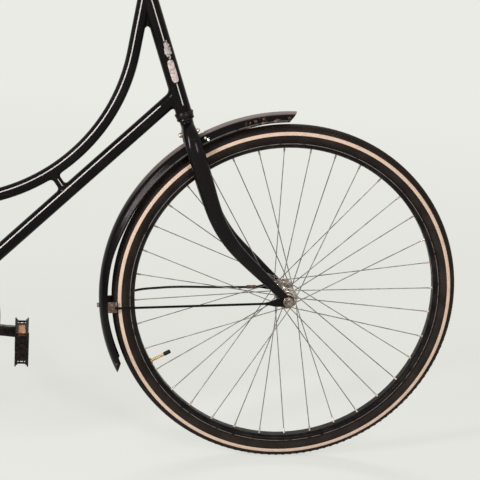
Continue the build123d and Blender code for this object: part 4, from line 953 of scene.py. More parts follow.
FINISHES = {
    "frame enamel": (enamel,),
    "head enamel": (enamel, False, 0.09, True),
    "fork enamel": (enamel, False, 0.07, False, 0.14),
    "guard enamel": (enamel, True, 0.13),
    "lining paint": (lining_paint,),
    "front tyre rubber": (tyre_rubber, FRONT_AXLE),
    "rear tyre rubber": (tyre_rubber, REAR_AXLE),
    "front rim paint": (rim_paint, FRONT_AXLE),
    "rear rim paint": (rim_paint, REAR_AXLE),
    "spoke steel": (spoke_steel,),
    "nipple brass": (metal, (0.50, 0.42, 0.36), (0.32, 0.25, 0.20), 0.36, 0.2),
    "hub plate": (metal, (0.62, 0.56, 0.50), (0.22, 0.17, 0.14), 0.14, 0.35, 110),
    "axle nut": (metal, (0.33, 0.28, 0.24), (0.13, 0.10, 0.08), 0.28, 0.4, 150),
    "old brass": (metal, (0.40, 0.34, 0.27), (0.22, 0.18, 0.14), 0.32, 0.2, 120),
    "zinc plate": (metal, (0.62, 0.60, 0.57), (0.36, 0.34, 0.32), 0.30, 0.35),
    "dark steel": (
        metal, (0.026, 0.020, 0.019), (0.012, 0.009, 0.009), 0.24, 0.2, 80, (0.08, 0.04, 0.025)
    ),
    "valve brass": (metal, (0.62, 0.42, 0.20), (0.34, 0.22, 0.10), 0.28, 0.2),
    "rusty steel": (rusty,),
    "saddle cover": (vinyl,),
    "grip rubber": (rubber_finish, (0.018, 0.018, 0.018), 900),
    "pedal rubber": (rubber_finish, (0.016, 0.013, 0.0125), 700),
    "cap rubber": (rubber_finish, (0.014, 0.014, 0.014), 1200, 0.45),
    "amber lens": (prism_lens, "amber"),
    "red lens": (prism_lens, "red"),
}


def finish(name):
    """A finish by name: the frame's own chrome, or one made the first time it is asked for."""
    found = bpy.data.materials.get(name)
    if found:
        return found
    make, *values = FINISHES[name]
    return make(name, *values)


# Wheels


# Radii of the bore, barrel, flanges and ends, and where the flanges stand
Hub = namedtuple("Hub", "bore barrel flange offset thickness end width")
HUBS = {
    "front": Hub(0.00455, 0.010, 0.022, 0.0325, 0.003, 0.014, 0.084),
    "rear": Hub(0.00485, 0.022, 0.034, 0.031, 0.0035, 0.027, 0.092),
}


def tyre_profile(sizes):
    """The tyre's section as a closed loop of (across, radius)."""
    half = sizes.tyre_width / 2
    centre = sizes.tyre_radius - half
    grooves, groove_depth = (7.0, 17.0, 27.0, 37.0), 0.0009
    band_start, band_end, band_lift = 69.0, 91.5, 0.000175
    outer = []
    turn = 0.0
    while turn <= 136.0:
        grooved = any(abs(turn - groove) < 1.3 for groove in grooves)
        reach = half - (groove_depth if grooved else 0)
        reach += band_lift if band_start <= turn <= band_end else 0
        outer.append((reach * sin(radians(turn)), centre + reach * cos(radians(turn))))
        turn += 1.3 if turn < 42 else 4.0
    bead = sizes.rim_width / 2 - 0.0027
    foot = sizes.rim_edge - 0.0045
    outer += [(bead, foot), (bead - 0.0035, foot)]
    inner = half - 0.0035
    for degrees in (136, 110, 80, 50, 20):
        outer.append((inner * sin(radians(degrees)), centre + inner * cos(radians(degrees))))
    return outer + [(-across, radius) for across, radius in reversed(outer) if across > 1e-6]


def make_tyre(which, axle, sizes):
    """A tyre with grooved tread, shoulder blocks and a moulded band on each wall."""
    rubber, body = f"{which} tyre rubber", f"{which}_wheel"
    profile = tyre_profile(sizes)
    profile.append(profile.pop(0))
    carcass = lathe(Form(), axle, LEFT, profile, 160, loop=True)
    build(carcass, f"{which}_tyre_carcass", rubber, body, "tyre_rubber", f"{which}_tyre", sharp=50)
    half = sizes.tyre_width / 2
    base = Form()
    for hand in (1, -1):
        for lean, skew, lift in ((43.0, 0.35, -0.0035), (52.0, -0.35, 0.0035)):
            normal = Vector((cos(radians(lean)), hand * sin(radians(lean)), 0))
            flat = Vector((-sin(radians(lean)), hand * cos(radians(lean)), 0))
            along = (UP + flat * skew * hand).normalized()
            across = normal.cross(along).normalized()
            where = Vector((axle.x + sizes.tyre_radius - half, 0, axle.z + lift))
            where += normal * (half + 0.0002)
            block(base, where, along, across, normal, (0.0048, 0.0042, 0.0018))
    blocks = build(base, f"{which}_tyre_blocks", rubber, body, "tyre_rubber")
    grown(blocks, "Repeat round an axis", Count=sizes.tread_blocks, Centre=axle, Axis=-LEFT,
          Step=2 * pi / sizes.tread_blocks)


def make_rim(which, axle, sizes):
    """A deep-welled steel rim with rounded flanges."""
    edge, inner, top = sizes.rim_width / 2, sizes.rim_inner, sizes.rim_edge
    profile = [
        (-0.009, inner), (0.009, inner), (edge - 0.001, inner + 0.0035), (edge, inner + 0.0065),
        (edge, top), (edge - 0.002, top), (edge - 0.002, inner + 0.0065), (0.009, inner + 0.002),
        (-0.009, inner + 0.002), (0.002 - edge, inner + 0.0065), (0.002 - edge, top), (-edge, top),
        (-edge, inner + 0.0065), (0.001 - edge, inner + 0.0035),
    ]
    form = lathe(Form(), axle, LEFT, rounded(profile, 0.0012, 3, loop=True), 160, loop=True)
    build(form, f"{which}_rim_hoop", f"{which} rim paint", f"{which}_wheel", "rim_paint",
          f"{which}_rim", sharp=40)


def make_spokes(which, axle, sizes, hub):
    """Spokes with button heads and elbows, and their nipples."""
    wires, nipples = Form(), Form()
    wire, nipple = sizes.spoke_radius, sizes.nipple_length
    for index in range(4):
        turn = sizes.phase + index * 2 * pi / (4 * sizes.groups)
        hand = -1 if index % 2 == 0 else 1
        way = 1 if index // 2 == 0 else -1
        face = hub.offset + (hub.thickness / 2 + wire * 0.8) * way
        foot = around(axle, hub.flange - 0.003, turn + sizes.crossings * way, face * hand)
        rim_place = around(axle, sizes.rim_inner + 0.0008, turn, hand * 0.003)
        heading = (rim_place - foot).normalized()
        back = LEFT * hand * -way
        elbow = [foot + back * (hub.thickness + 0.0022), foot + back * 0.0006,
                 foot + heading * 0.0022]
        tube(wires, [*elbow, foot + heading * 0.03, rim_place], wire, 6)
        lathe(wires, elbow[0] + back * 0.0008, back,
              [(-0.0014, 0.0019), (-0.0004, 0.0019), (0.0002, 0.0010)], 8)
        lathe(nipples, rim_place - heading * nipple, heading, [
            (0, wire * 1.05), (0.0006, 0.0018), (nipple - 0.0018, 0.0019),
            (nipple - 0.0008, 0.0028), (nipple, 0.0028),
        ], 8)
    for form, label, material, nodes in (
        (wires, "spoke_wires", "spoke steel", [f"{which}_spokes"]),
        (nipples, "spoke_nipples", "nipple brass", []),
    ):
        piece = build(form, f"{which}_{label}", material, f"{which}_wheel", "spoke_steel", *nodes)
        grown(piece, "Repeat round an axis", Count=sizes.groups, Centre=axle, Axis=-LEFT,
              Step=2 * pi / sizes.groups, sharp=50)


def make_hub(which, axle, hub):
    """A turned hub with two flanges and rounded shoulders."""
    inner, outer = hub.offset - hub.thickness / 2, hub.offset + hub.thickness / 2
    half = [
        (0, hub.barrel), (hub.offset - hub.thickness * 2.5, hub.barrel), (inner, hub.end),
        (inner, hub.flange), (outer, hub.flange), (outer, hub.end),
        (hub.width / 2 - 0.001, hub.end * 0.9), (hub.width / 2, hub.end * 0.78),
        (hub.width / 2, hub.bore),
    ]
    profile = [(-along, radius) for along, radius in reversed(half)] + half[1:]
    form = lathe(Form(), axle, LEFT, rounded(profile, 0.0012, 3), 64)
    form.faces = [face for face in form.faces if len(face) < 10]
    last = len(form.points) - 64
    form.bridge(range(last, last + 64), range(64))
    build(form, f"{which}_hub_shell", "hub plate", f"{which}_wheel", "bronze_chrome",
          f"{which}_hub", sharp=40)


def make_valve(which, axle, sizes):
    """A brass valve with a ridged stem, a locking ring and a rubber cap."""
    out = Vector((cos(sizes.valve_angle), 0, sin(sizes.valve_angle)))
    reach = sizes.valve_length
    tip = axle + out * (sizes.rim_inner - reach)
    stem = [(0.010, 0.0)]
    for step in range(9):
        along = 0.010 + step * 0.0035
        stem += [(along, 0.0026), (along + 0.0012, 0.0032), (along + 0.0024, 0.0026)]
    stem += [
        (reach - 0.003, 0.0030), (reach - 0.0028, 0.0056), (reach - 0.0006, 0.0056),
        (reach - 0.0005, 0.0031), (reach + 0.002, 0.0031), (reach + 0.002, 0.0),
    ]
    cap = [(0, 0), (0, 0.0030), (0.0012, 0.0041), (0.0130, 0.0042), (0.0142, 0.0036), (0.0142, 0)]
    build(lathe(Form(), tip, out, stem, 16), f"{which}_valve_stem", "valve brass",
          f"{which}_wheel", "brass", f"{which}_valve", sharp=30)
    build(lathe(Form(), tip, out, cap, 20), f"{which}_valve_cap", "cap rubber",
          f"{which}_wheel", "grip_rubber", sharp=35)


# Mudguards


def guard_section(sizes):
    """The mudguard's section as a closed loop of (across, radius, place from edge to edge)."""
    half = sizes.width / 2
    rise = sizes.crest - sizes.edge
    bow = (half**2 + rise**2) / (2 * rise)
    centre = sizes.crest - bow
    limit = atan2(half, sizes.edge - centre)
    steps = 28
    outer, inner = [], []
    for step in range(steps + 1):
        place = 2 * step / steps - 1
        turn = limit * place
        sunk = bow - 0.0006 * max(0.0, 1 - abs(abs(place) - 0.80) / 0.05)
        under = bow - sizes.wall
        outer.append((sunk * sin(turn), centre + sunk * cos(turn), place))
        inner.append((under * sin(turn), centre + under * cos(turn), place * 0.5))

    def bead(hand):
        """The rolled edge on one side."""
        for step in range(7):
            turn = -0.3 - step * 0.72
            across = hand * (half - sizes.bead + sizes.bead * cos(turn))
            yield across, sizes.edge + 0.0002 + sizes.bead * sin(turn), hand

    return [*outer, *bead(1), *reversed(inner), *reversed(list(bead(-1)))]


def guard_form(axle, sizes, start_at, end_at, segments=120, deepening=0.0):
    """Sweeps the section round an axle between two ends that may be cut on a slant.

    A deepening lets the edges hang lower over the wheel's upper rear.
    """
    loop = guard_section(sizes)
    lowest = min(radius for _, radius, _ in loop)
    form = Form()
    rings = []
    for step in range(segments + 1):
        t = step / segments
        row = []
        for across, radius, place in loop:
            turn = start_at(radius) * (1 - t) + end_at(radius) * t
            behind = (turn - radians(99)) / radians(12)
            before = (radians(171) - turn) / radians(14)
            hang = min(max(behind, 0), max(before, 0), 1)
            near_edge = max(1 - (radius - lowest) / 0.012, 0)
            radius -= deepening * hang * hang * (3 - 2 * hang) * near_edge
            row.append(form.point(around(axle, radius, turn, across), across=place))
        rings.append(row)
    form.skin(rings)
    return form


def slanted(sizes, start, slope, below=False):
    """The angle at which a radius meets a slanted cut through the crest's end."""
    nose_x, nose_z = sizes.crest * cos(start), sizes.crest * sin(start)

    def meet(radius):
        turn = start
        for _ in range(12):
            across = nose_x - (nose_z - radius * sin(turn)) / tan(slope)
            turn = atan2(sqrt(max(radius**2 - across**2, 0)), across)
            if below:
                turn = 2 * pi - turn
        return turn

    return meet





def make_guards(sizes):
    """Both mudguards, and the bolts that hold the front one to the crown."""
    nose = slanted(sizes, sizes.front_start, radians(45))
    tail = slanted(sizes, sizes.front_end, radians(78), below=True)
    front = guard_form(FRONT_AXLE, sizes, nose, tail, deepening=0.0034)
    build(front, "front_guard_sheet", "guard enamel", "steering", "black_paint",
          "front_mudguard", sharp=40)
    rear = guard_form(
        REAR_AXLE, sizes, lambda _: sizes.rear_start, lambda _: sizes.rear_end, 170
    )
    build(rear, "rear_guard_sheet", "guard enamel", "frame", "black_paint",
          "rear_mudguard", sharp=40)
    bolts, bolt_angle = Form(), 118.9
    washer = [(-0.001, 0), (-0.001, 0.0036), (0.0006, 0.0036), (0.0022, 0.0028),
              (0.0030, 0.0012), (0.0030, 0)]
    for hand in (1, -1):
        seat = around(FRONT_AXLE, 0.3605, radians(bolt_angle), hand * 0.0238)
        out = (heading_at(bolt_angle) * 0.35 + LEFT * hand * 0.85).normalized()
        lathe(bolts, seat, out, washer, 20)
        head = around(FRONT_AXLE, 0.3655, radians(bolt_angle + 0.5), hand * 0.0205)
        hexagon(bolts, head, out, 0.005, 0.0026, 0.0006)
    build(bolts, "front_guard_bolts", "chrome", "steering", "zinc_steel", sharp=40)
    make_stays()


def plate(form, outline, side, thickness, edge=0.0005):
    """A flat plate parallel to the wheels, from an outline of (x, z) pairs."""
    middle_x = sum(x for x, _ in outline) / len(outline)
    middle_z = sum(z for _, z in outline) / len(outline)
    face = 1 - 2 * edge / thickness
    rings = []
    for step, inset in ((-1, edge), (-face, 0), (face, 0), (1, edge)):
        row = []
        for x, z in outline:
            scale = 1 - inset / max(hypot(x - middle_x, z - middle_z), 1e-4)
            row.append(form.point((
                middle_x + (x - middle_x) * scale, side + step * thickness / 2,
                middle_z + (z - middle_z) * scale,
            )))
        rings.append(row)
    form.skin(rings)
    return form


def make_stays():
    """The front mudguard's stays: the right one straight, the left one bowed upwards."""
    hook = around(FRONT_AXLE, 0.346, radians(185))
    back = heading_at(186)
    over = Vector((back.z, 0, -back.x))
    neck = [(0.009, 0.0095), (0.017, 0.0082), (0.024, 0.0078), (0.031, 0.0062),
            (0.038, 0.0040), (0.046, 0.0027)]
    nose = [radians(90 - 20 * step) for step in range(10)]
    loop = [*reversed(neck), *((-0.0095 * cos(turn), 0.0095 * sin(turn)) for turn in nose)]
    loop += [(along, -half) for along, half in neck]
    outline = [FRONT_AXLE + back * along + over * half for along, half in loop]
    form = Form()
    for hand in (-1, 1):
        plate(form, [(place.x, place.z) for place in outline], hand * 0.05725, 0.0025)
        eye = FRONT_AXLE + back * 0.042 + LEFT * hand * 0.0572
        first = Vector((hook.x + 0.003, hand * 0.0285, hook.z))
        run = [first, first.lerp(eye, 0.5), eye]
        if hand > 0:
            run = smooth_rows([tuple(place) for place in (
                first, (0.294, 0.0325, 0.3370), (0.3445, 0.0365, 0.3428),
                (0.3855, 0.0395, 0.3446), (0.437, 0.0435, 0.3440),
                (0.4885, 0.0475, 0.3436), (0.5297, 0.0530, 0.3432), eye,
            )])
        tube(form, run, 0.0024, 12)
    build(form, "front_stays", "frame enamel", "steering", "black_paint",
          "front_mudguard_stays", sharp=40)
    sleeve = tube(Form(), [(0.522, 0.0522, 0.3434), (0.541, 0.0548, 0.3434)], 0.0038, 16)
    bevelled(build(sleeve, "front_stay_sleeve", "rusty steel", "steering", "rusty_steel"), 0.0006)


def make_front_axle():
    """The front axle with its cones, washers and nuts."""
    form = Form()
    half = 0.0711
    rod = [(-half, 0), (-half, 0.0036), (0.0010 - half, 0.0045)]
    for step in range(6):
        along = 0.0016 + step * 0.0012
        rod += [(along - half, 0.0045), (along + 0.0006 - half, 0.0041)]
    rod += [(-0.060, 0.0045)]
    rod += [(-along, radius) for along, radius in reversed(rod)]
    cone = [(0.0426, 0.0044), (0.0426, 0.0078), (0.0480, 0.0078), (0.0499, 0.0068),
            (0.0499, 0.0044)]
    washer = [(0.0586, 0.0046), (0.0586, 0.0100), (0.0590, 0.0105), (0.0597, 0.0105),
              (0.0601, 0.0100), (0.0601, 0.0046)]
    lathe(form, FRONT_AXLE, LEFT, rod, 32)
    for out in (LEFT, -LEFT):
        lathe(form, FRONT_AXLE, out, cone, 32, loop=True)
        lathe(form, FRONT_AXLE, out, washer, 40, loop=True)
        hexagon(form, FRONT_AXLE + out * 0.0601, out, 0.0150, 0.0080, 0.0014)
    build(form, "front_axle_set", "axle nut", "steering", "zinc_steel", "front_axle", sharp=30)


def make_crown_bolt(sizes):
    """The bolt through the crown, with a domed nut behind and a plain one ahead."""
    place = steering_point(0, 0, sizes.neck_bottom + 0.0066)
    rod = [(-0.0150, 0), (-0.0150, 0.003), (0.0190, 0.003), (0.0205, 0.0022), (0.0205, 0)]
    dome = [(0.0125, 0), (0.0125, 0.0062), (0.0140, 0.0065), (0.0150, 0.0054),
            (0.0190, 0.0052), (0.0212, 0.0042), (0.0222, 0.0022), (0.0224, 0)]
    washer = [(0.0125, 0), (0.0125, 0.0060), (0.0137, 0.0060), (0.0137, 0)]
    bolt = lathe(Form(), place, STEER_FORE, rod, 20)
    lathe(bolt, place, -STEER_FORE, dome, 28)
    build(bolt, "crown_bolt_set", "old brass", "steering", "zinc_steel", "crown_bolt", sharp=30)
    nut = lathe(Form(), place, STEER_FORE, washer, 28)
    hexagon(nut, place + STEER_FORE * 0.0136, STEER_FORE, 0.0090, 0.0045, 0.0008)
    build(nut, "crown_bolt_nut", "axle nut", "steering", "zinc_steel", sharp=30)


# Fork


def blade_rows(sizes):
    """Rows of fore, side, up, half depth and half width from the neck to the tip."""
    spread, neck = sizes.spread, sizes.neck_bottom
    deep, wide = sizes.half_depth, sizes.half_width
    turn = atan2(RAKE, sizes.bend_corner)
    top = sizes.bend_corner + sizes.bend_radius * tan(turn / 2)
    tip = 0.053

    def on_bend(part):
        bend = sizes.bend_radius
        return bend * (1 - cos(turn * part)), top - bend * sin(turn * part)

    def on_run(gap):
        return RAKE - gap * sin(turn), gap * cos(turn)

    rows = [
        (0, spread * 0.05, neck + 0.020, deep - 0.0045, wide - 0.0010),
        (0, spread * 0.22, neck + 0.0185, deep - 0.0035, wide - 0.0005),
        (0, spread * 0.43, neck + 0.0125, deep - 0.0025, wide),
        (0, spread * 0.62, neck + 0.0050, deep - 0.0015, wide),
        (0, spread * 0.77, neck - 0.0040, deep - 0.0008, wide),
        (0, spread * 0.90, neck - 0.0150, deep, wide),
        (0, spread * 0.98, neck - 0.0280, deep, wide),
        (0, spread, neck - 0.045, deep, wide),
        (0, spread + 0.0006, neck - 0.086, deep, wide),
    ]
    places = [(*on_bend(part), part) for part in (0.0, 0.25, 0.5, 0.75, 1.0)]
    outs = [0.15, 0.265, 0.38, 0.50, 0.62]
    tapers = [0.10, 0.19, 0.28, 0.415, 0.55]
    lower = [(*on_run(gap), out, taper) for gap, out, taper in (
        (0.078, 0.73, 0.70), (0.052, 0.85, 0.86), (0.030, 0.93, 0.94), (0.0105, 1.0, 1.0))]
    below = [(f, u, o, t) for (f, u, _), o, t in zip(places, outs, tapers)] + lower
    for fore, up, out, taper in below:
        rows.append((
            fore, spread + (tip - spread) * out, up,
            deep + (sizes.tip_depth - deep) * taper, wide + (sizes.tip_width - wide) * taper,
        ))
    return rows


def smooth_rows(rows, between=6):
    """Adds rows between rows on smooth curves through them."""
    result = []
    count = len(rows)
    for index in range(count - 1):
        p = [rows[max(index - 1, 0)], rows[index], rows[index + 1], rows[min(index + 2, count - 1)]]
        for step in range(between):
            t = step / between
            result.append(tuple(
                0.5 * (2 * b + (c - a) * t + (2 * a - 5 * b + 4 * c - d) * t**2
                       + (3 * b - a - 3 * c + d) * t**3)
                for a, b, c, d in zip(*p)
            ))
    result.append(rows[-1])
    return result


def make_fork(sizes):
    """The fork: a neck whose shoulders turn down into two tapered blades, with its ends."""
    bottom, radius = sizes.neck_bottom, sizes.neck_radius
    form = lathe(Form(), STEER_FOOT, STEER_UP, [
        (bottom, 0), (bottom, radius - 0.002), (bottom + 0.002, radius),
        (sizes.race_bottom, radius), (sizes.race_bottom, 0),
    ], 48)
    rows = smooth_rows(blade_rows(sizes))
    turns = [2 * pi * step / 32 for step in range(32)]
    for hand in (1, -1):
        places = [steering_point(fore, side * hand, up) for fore, side, up, _, _ in rows]
        rings = []
        for index, (place, (*_, deep, wide)) in enumerate(zip(places, rows)):
            ahead = places[min(index + 1, len(rows) - 1)] - places[max(index - 1, 0)]
            heading = ahead.normalized()
            fore = (STEER_FORE - heading * STEER_FORE.dot(heading)).normalized()
            other = heading.cross(fore)
            rings.append([
                form.point(place + fore * deep * cos(turn) + other * wide * sin(turn))
                for turn in turns
            ])
        form.skin(rings)
    fork = build(form, "fork_body", "fork enamel", "steering", "black_paint",
                 "fork_crown", "fork_blades")
    modified(fork, "REMESH", mode="VOXEL", voxel_size=0.0013, use_smooth_shade=True)
    blend_crown(fork, sizes)
    smooth(fork, 60)
    ends = Form()
    profile = [(0, 0.0046), (0, 0.0115), (0.0006, 0.0125), (0.0054, 0.0125), (0.006, 0.0115),
               (0.006, 0.0046)]
    for out in (LEFT, -LEFT):
        lathe(ends, FRONT_AXLE + out * 0.050, out, profile, 40, loop=True)
    build(ends, "fork_ends", "fork enamel", "steering", "black_paint")
    make_races(sizes)
    make_crown_bolt(sizes)
    make_front_axle()


def blend_crown(fork, sizes):
    """Melts the joint of neck and shoulders into a smooth fillet, and evens the sheet."""
    work = bmesh.new()
    work.from_mesh(fork.data)
    bmesh.ops.recalc_face_normals(work, faces=work.faces)
    top, low = sizes.race_bottom - 0.004, sizes.neck_bottom - 0.030

    def chosen(vert, turn):
        """Every point at first, then only the crown, closing in on its middle."""
        gap = vert.co - STEER_FOOT
        up, side = gap.dot(STEER_UP), abs(gap.y)
        if turn < 1:
            return True
        return up < top + 0.003 and (turn < 3 or (low < up < top and side < 0.030 - turn * 0.0004))

    for turn in range(26):
        bmesh.ops.smooth_vert(
            work, verts=[vert for vert in work.verts if chosen(vert, turn)], factor=0.5,
            use_axis_x=True, use_axis_y=True, use_axis_z=True,
        )
    work.to_mesh(fork.data)
    work.free()


def make_races(sizes):
    """The bearing races and the locknut that turn with the fork."""
    form = Form()
    low, high = sizes.race_bottom, 0.7136
    lathe(form, STEER_FOOT, STEER_UP, [
        (low - 0.0004, 0.0127), (low - 0.0004, 0.0150), (low + 0.0008, 0.0172),
        (low + 0.0032, 0.0175), (low + 0.0046, 0.0168), (low + 0.0049, 0.0127),
    ], 48, loop=True)
    lathe(form, STEER_FOOT, STEER_UP, [
        (high, 0.0120), (high, 0.0168), (high + 0.0010, 0.0175), (high + 0.0068, 0.0175),
        (high + 0.0080, 0.0160), (high + 0.0080, 0.0120),
    ], 48, loop=True)
    hexagon(form, steering_point(0, 0, high + 0.0080), STEER_UP, 0.032, 0.009)
    build(form, "headset_races", "dark steel", "steering", "dark_steel")


def make_headset():
    """The two cups pressed into the head tube, with a thin flange each."""
    cup = (
        (0, 0.0128), (0, 0.0160), (0.0016, 0.0166), (0.0032, 0.0184), (0.0046, 0.0188),
        (0.0052, 0.0188), (0.0056, 0.0176), (0.0090, 0.0178), (0.0112, 0.0172),
        (0.0119, 0.0150), (0.0119, 0.0128),
    )
    for node, sign, station in (("headset_lower", -1, 0.4193), ("headset_upper", 1, 0.7013)):
        profile = [(sign * along, radius) for along, radius in cup]
        form = lathe(Form(), steering_point(0, 0, station), STEER_UP, profile, 56, loop=True)
        build(form, f"{node}_cup", "dark steel", "frame", "dark_steel", node, sharp=35)


# Frame


# Radii of the frame's tubes
HEAD_TUBE, DOWN_TUBE, SEAT_TUBE, TOP_TUBE, STRUT_TUBE = 0.0159, 0.0143, 0.0143, 0.0127, 0.008

# Middle lines of the frame's tubes: where each starts and which way it runs
DOWN_START = steering_point(0, 0, 0.4548)
DOWN = heading_at(180 + 44.3)
SEAT_UP = heading_at(180 - 68)
TOP_START = steering_point(0, 0, 0.670)
TOP_DOWN = heading_at(270 - 8.5)
TOP_BACK = heading_at(270 - 75)
TOP_STRAIGHT = 0.126
TOP_BEND = 0.358
STRUT = heading_at(-55)


def crossing(start, heading, other_start, other_heading):
    """Where two lines in the plane of the wheels meet."""
    gap = other_start - start
    cross = heading.x * other_heading.z - heading.z * other_heading.x
    return start + heading * ((gap.x * other_heading.z - gap.z * other_heading.x) / cross)


BEND_START = TOP_START + TOP_DOWN * TOP_STRAIGHT
BEND_CENTRE = BEND_START + heading_at(180 - 8.5) * TOP_BEND
STRUT_TOP = BEND_CENTRE + STRUT * TOP_BEND
STRUT_FOOT = crossing(STRUT_TOP, STRUT, DOWN_START, DOWN)


def top_tube_path():
    """The top tube's middle line from the head tube to the seat tube."""
    corner = BEND_START + TOP_DOWN * (TOP_BEND * tan(radians(75 - 8.5) / 2))
    end = crossing(corner, TOP_BACK, BRACKET, SEAT_UP)
    return arc_path([TOP_START, corner, end], TOP_BEND, radians(3))


def brazed_fillet(form, start, heading, radius, post, post_dir, post_radius, size):
    """A smooth brazed joint where a round tube meets a round post."""
    side = heading.orthogonal().normalized()
    other = heading.cross(side)
    run = heading - post_dir * heading.dot(post_dir)
    a = run.dot(run)
    rings = []
    for step in range(56):
        turn = 2 * pi * step / 56
        out = side * cos(turn) + other * sin(turn)
        origin = start + out * radius
        gap = origin - post
        flat = gap - post_dir * gap.dot(post_dir)
        b = flat.dot(run)
        root = max(b * b - a * (flat.dot(flat) - post_radius**2), 0)
        meet = origin + heading * ((-b + sqrt(root)) / a)
        upper = meet + heading * size - out * 0.0001
        foot = meet + out * size - heading * (size * 0.2)
        gap = foot - post
        flat = gap - post_dir * gap.dot(post_dir)
        foot += flat.normalized() * (post_radius - 0.0001) - flat
        row = []
        for k in range(7):
            t = k / 6
            row.append(form.point(upper * (1 - t) ** 2 + meet * 2 * t * (1 - t) + foot * t**2))
        row.append(form.point(meet - out * 0.002 - flat.normalized() * 0.002))
        rings.append(row)
    form.skin(rings + rings[:1], ends=False)


# Nodes that keep their own mesh, by finish; the stem, handlebar and seat post stay chrome
PLAIN_NODES = {
    "frame enamel": (
        "down_tube", "top_tube", "seat_tube", "bottom_bracket_shell", "chainstays",
        "seatstays", "rear_mudguard_stays", "rear_rack", "rack_legs", "stand_leg_left",
        "stand_leg_right", "stand_crossbar",
    ),
    "head enamel": ("head_tube",),
    "zinc plate": ("brake_arm",),
    "axle nut": ("rear_axle",),
    "rusty steel": ("stay_bracket",),
    "dark steel": ("crank_spindle",),
}


def make_joints():
    """Brazed fillets where the frame's tubes meet, and the finishes of its plain nodes."""
    form = Form()
    tangent = Vector((STRUT.z, 0, -STRUT.x))
    for joint in (
        (DOWN_START, DOWN, DOWN_TUBE, STEER_FOOT, STEER_UP, HEAD_TUBE, 0.009),
        (STRUT_TOP, STRUT, STRUT_TUBE, STRUT_TOP, tangent, TOP_TUBE, 0.008),
        (STRUT_FOOT, -STRUT, STRUT_TUBE, DOWN_START, DOWN, DOWN_TUBE, 0.008),
        (top_tube_path()[-1], -TOP_BACK, TOP_TUBE, BRACKET, SEAT_UP, SEAT_TUBE, 0.007),
    ):
        brazed_fillet(form, *joint)
    build(form, "frame_fillets", "frame enamel", "frame", "black_paint", sharp=60)
    make_web()
    make_lining()
    for finish_name, nodes in PLAIN_NODES.items():
        for node in nodes:
            dress(node, finish_name)


def make_web():
    """The brazed web that fills the narrow angle between top tube and head tube."""
    middle_line = (TOP_DOWN - STEER_UP).normalized()
    across = Vector((-middle_line.z, 0, middle_line.x))
    half_angle = TOP_DOWN.angle(-STEER_UP) / 2
    slope, lean = tan(half_angle), cos(half_angle)
    start, lowest, sunk = 0.050, 0.0745, 0.0028
    form = Form()
    rings = []
    for row in range(13):
        part = sin(pi / 2 * row / 12)
        front, back = [], []
        for column in range(11):
            s = column / 10
            bow = (2 * s - 1) ** 2
            along = start + (lowest + 0.0105 * bow - start) * part
            left_wall = TOP_TUBE / lean - along * slope - sunk
            right_wall = along * slope - HEAD_TUBE / lean + sunk
            lateral = left_wall + (right_wall - left_wall) * s
            thick = (0.0062 + 0.0022 * bow) * sqrt(max(1 - part**6, 0)) * (1 - 0.25 * part)
            place = TOP_START + middle_line * along + across * lateral
            front.append(form.point(place + LEFT * thick))
            back.append(form.point(place - LEFT * thick))
        rings.append(front + list(reversed(back)))
    form.skin(rings, ends=False)
    form.faces.append(tuple(rings[0]))
    build(form, "head_web", "frame enamel", "frame", "black_paint", sharp=60)


def painted_line(form, points, radius, lean, width, toward, sides=(-1, 1), first_lean=None):
    """A thin painted line along a tube, leaning from its side towards a direction."""
    points = [Vector(place) for place in points]
    first_lean = lean if first_lean is None else first_lean
    edges = [(0.00012, part) for part in (-1, -0.33, 0.33, 1)]
    edges += [(-0.0004, part) for part in (1, 0.33, -0.33, -1)]
    for hand in sides:
        rings = []
        for step, (place, (heading, _)) in enumerate(zip(points, frames(points))):
            over = LEFT.cross(heading)
            over = over if over.dot(toward) > 0 else -over
            tilt = first_lean + (lean - first_lean) * min(2 * step / len(points), 1)
            row = []
            for lift, part in edges:
                turn = tilt + part * width / 2 / radius
                out = LEFT * hand * cos(turn) + over * sin(turn)
                row.append(form.point(place + out * (radius + lift)))
            rings.append(row)
        form.skin(rings)


def make_lining():
    """Thin cream lines on the top tube, down tube, strut and head tube."""
    form = Form()
    path = top_tube_path()
    path[0] = TOP_START + TOP_DOWN * 0.020
    path[-1] -= TOP_BACK * 0.030
    painted_line(form, path, TOP_TUBE, radians(31), 0.0021, Vector((-0.5, 0, 0.85)),
                 first_lean=radians(20))
    reach = (BRACKET - DOWN_START).length
    run = [DOWN_START + DOWN * along for along in (0.040, reach / 2, reach - 0.034)]
    painted_line(form, run, DOWN_TUBE, radians(32), 0.0021, Vector((-1, 0, 1)))
    run = [STRUT_TOP.lerp(STRUT_FOOT, part) for part in (0.34, 0.5, 0.66)]
    painted_line(form, run, STRUT_TUBE, radians(16), 0.0015, Vector((1, 0, 0.7)))
    for low, high, side in ((0.4340, 0.4780, -1), (0.5640, 0.6880, -1), (0.4340, 0.6880, 1)):
        run = [steering_point(0, 0, low), steering_point(0, 0, high)]
        painted_line(form, run, HEAD_TUBE, radians(9.5), 0.0019, STEER_FORE, (side,))
    build(form, "frame_lining", "lining paint", "frame", "black_paint", sharp=50)


def dress(node, finish_name):
    """Puts a finish on a node that stays as it is."""
    piece = NODES[node]
    if not piece.material_slots:
        piece.data.materials.append(finish(finish_name))
    for place in piece.material_slots:
        place.material = finish(finish_name)


# Chaincase


def hull_outline(front, rear, inset, steps=40):
    """The outline round two circles on the bracket and the rear axle, as (x, z) pairs."""
    gap = REAR_AXLE - BRACKET
    heading = atan2(gap.z, gap.x)
    lean = pi / 2 - atan2(front - rear, sqrt(gap.x**2 + gap.z**2 - (front - rear) ** 2))
    points = []
    for centre, radius, start, end in (
        (REAR_AXLE, rear - inset, heading - lean, heading + lean),
        (BRACKET, front - inset, heading + lean, heading + 2 * pi - lean),
    ):
        for step in range(steps + 1):
            turn = start + (end - start) * step / steps
            points.append((centre.x + radius * cos(turn), centre.z + radius * sin(turn)))
    return points


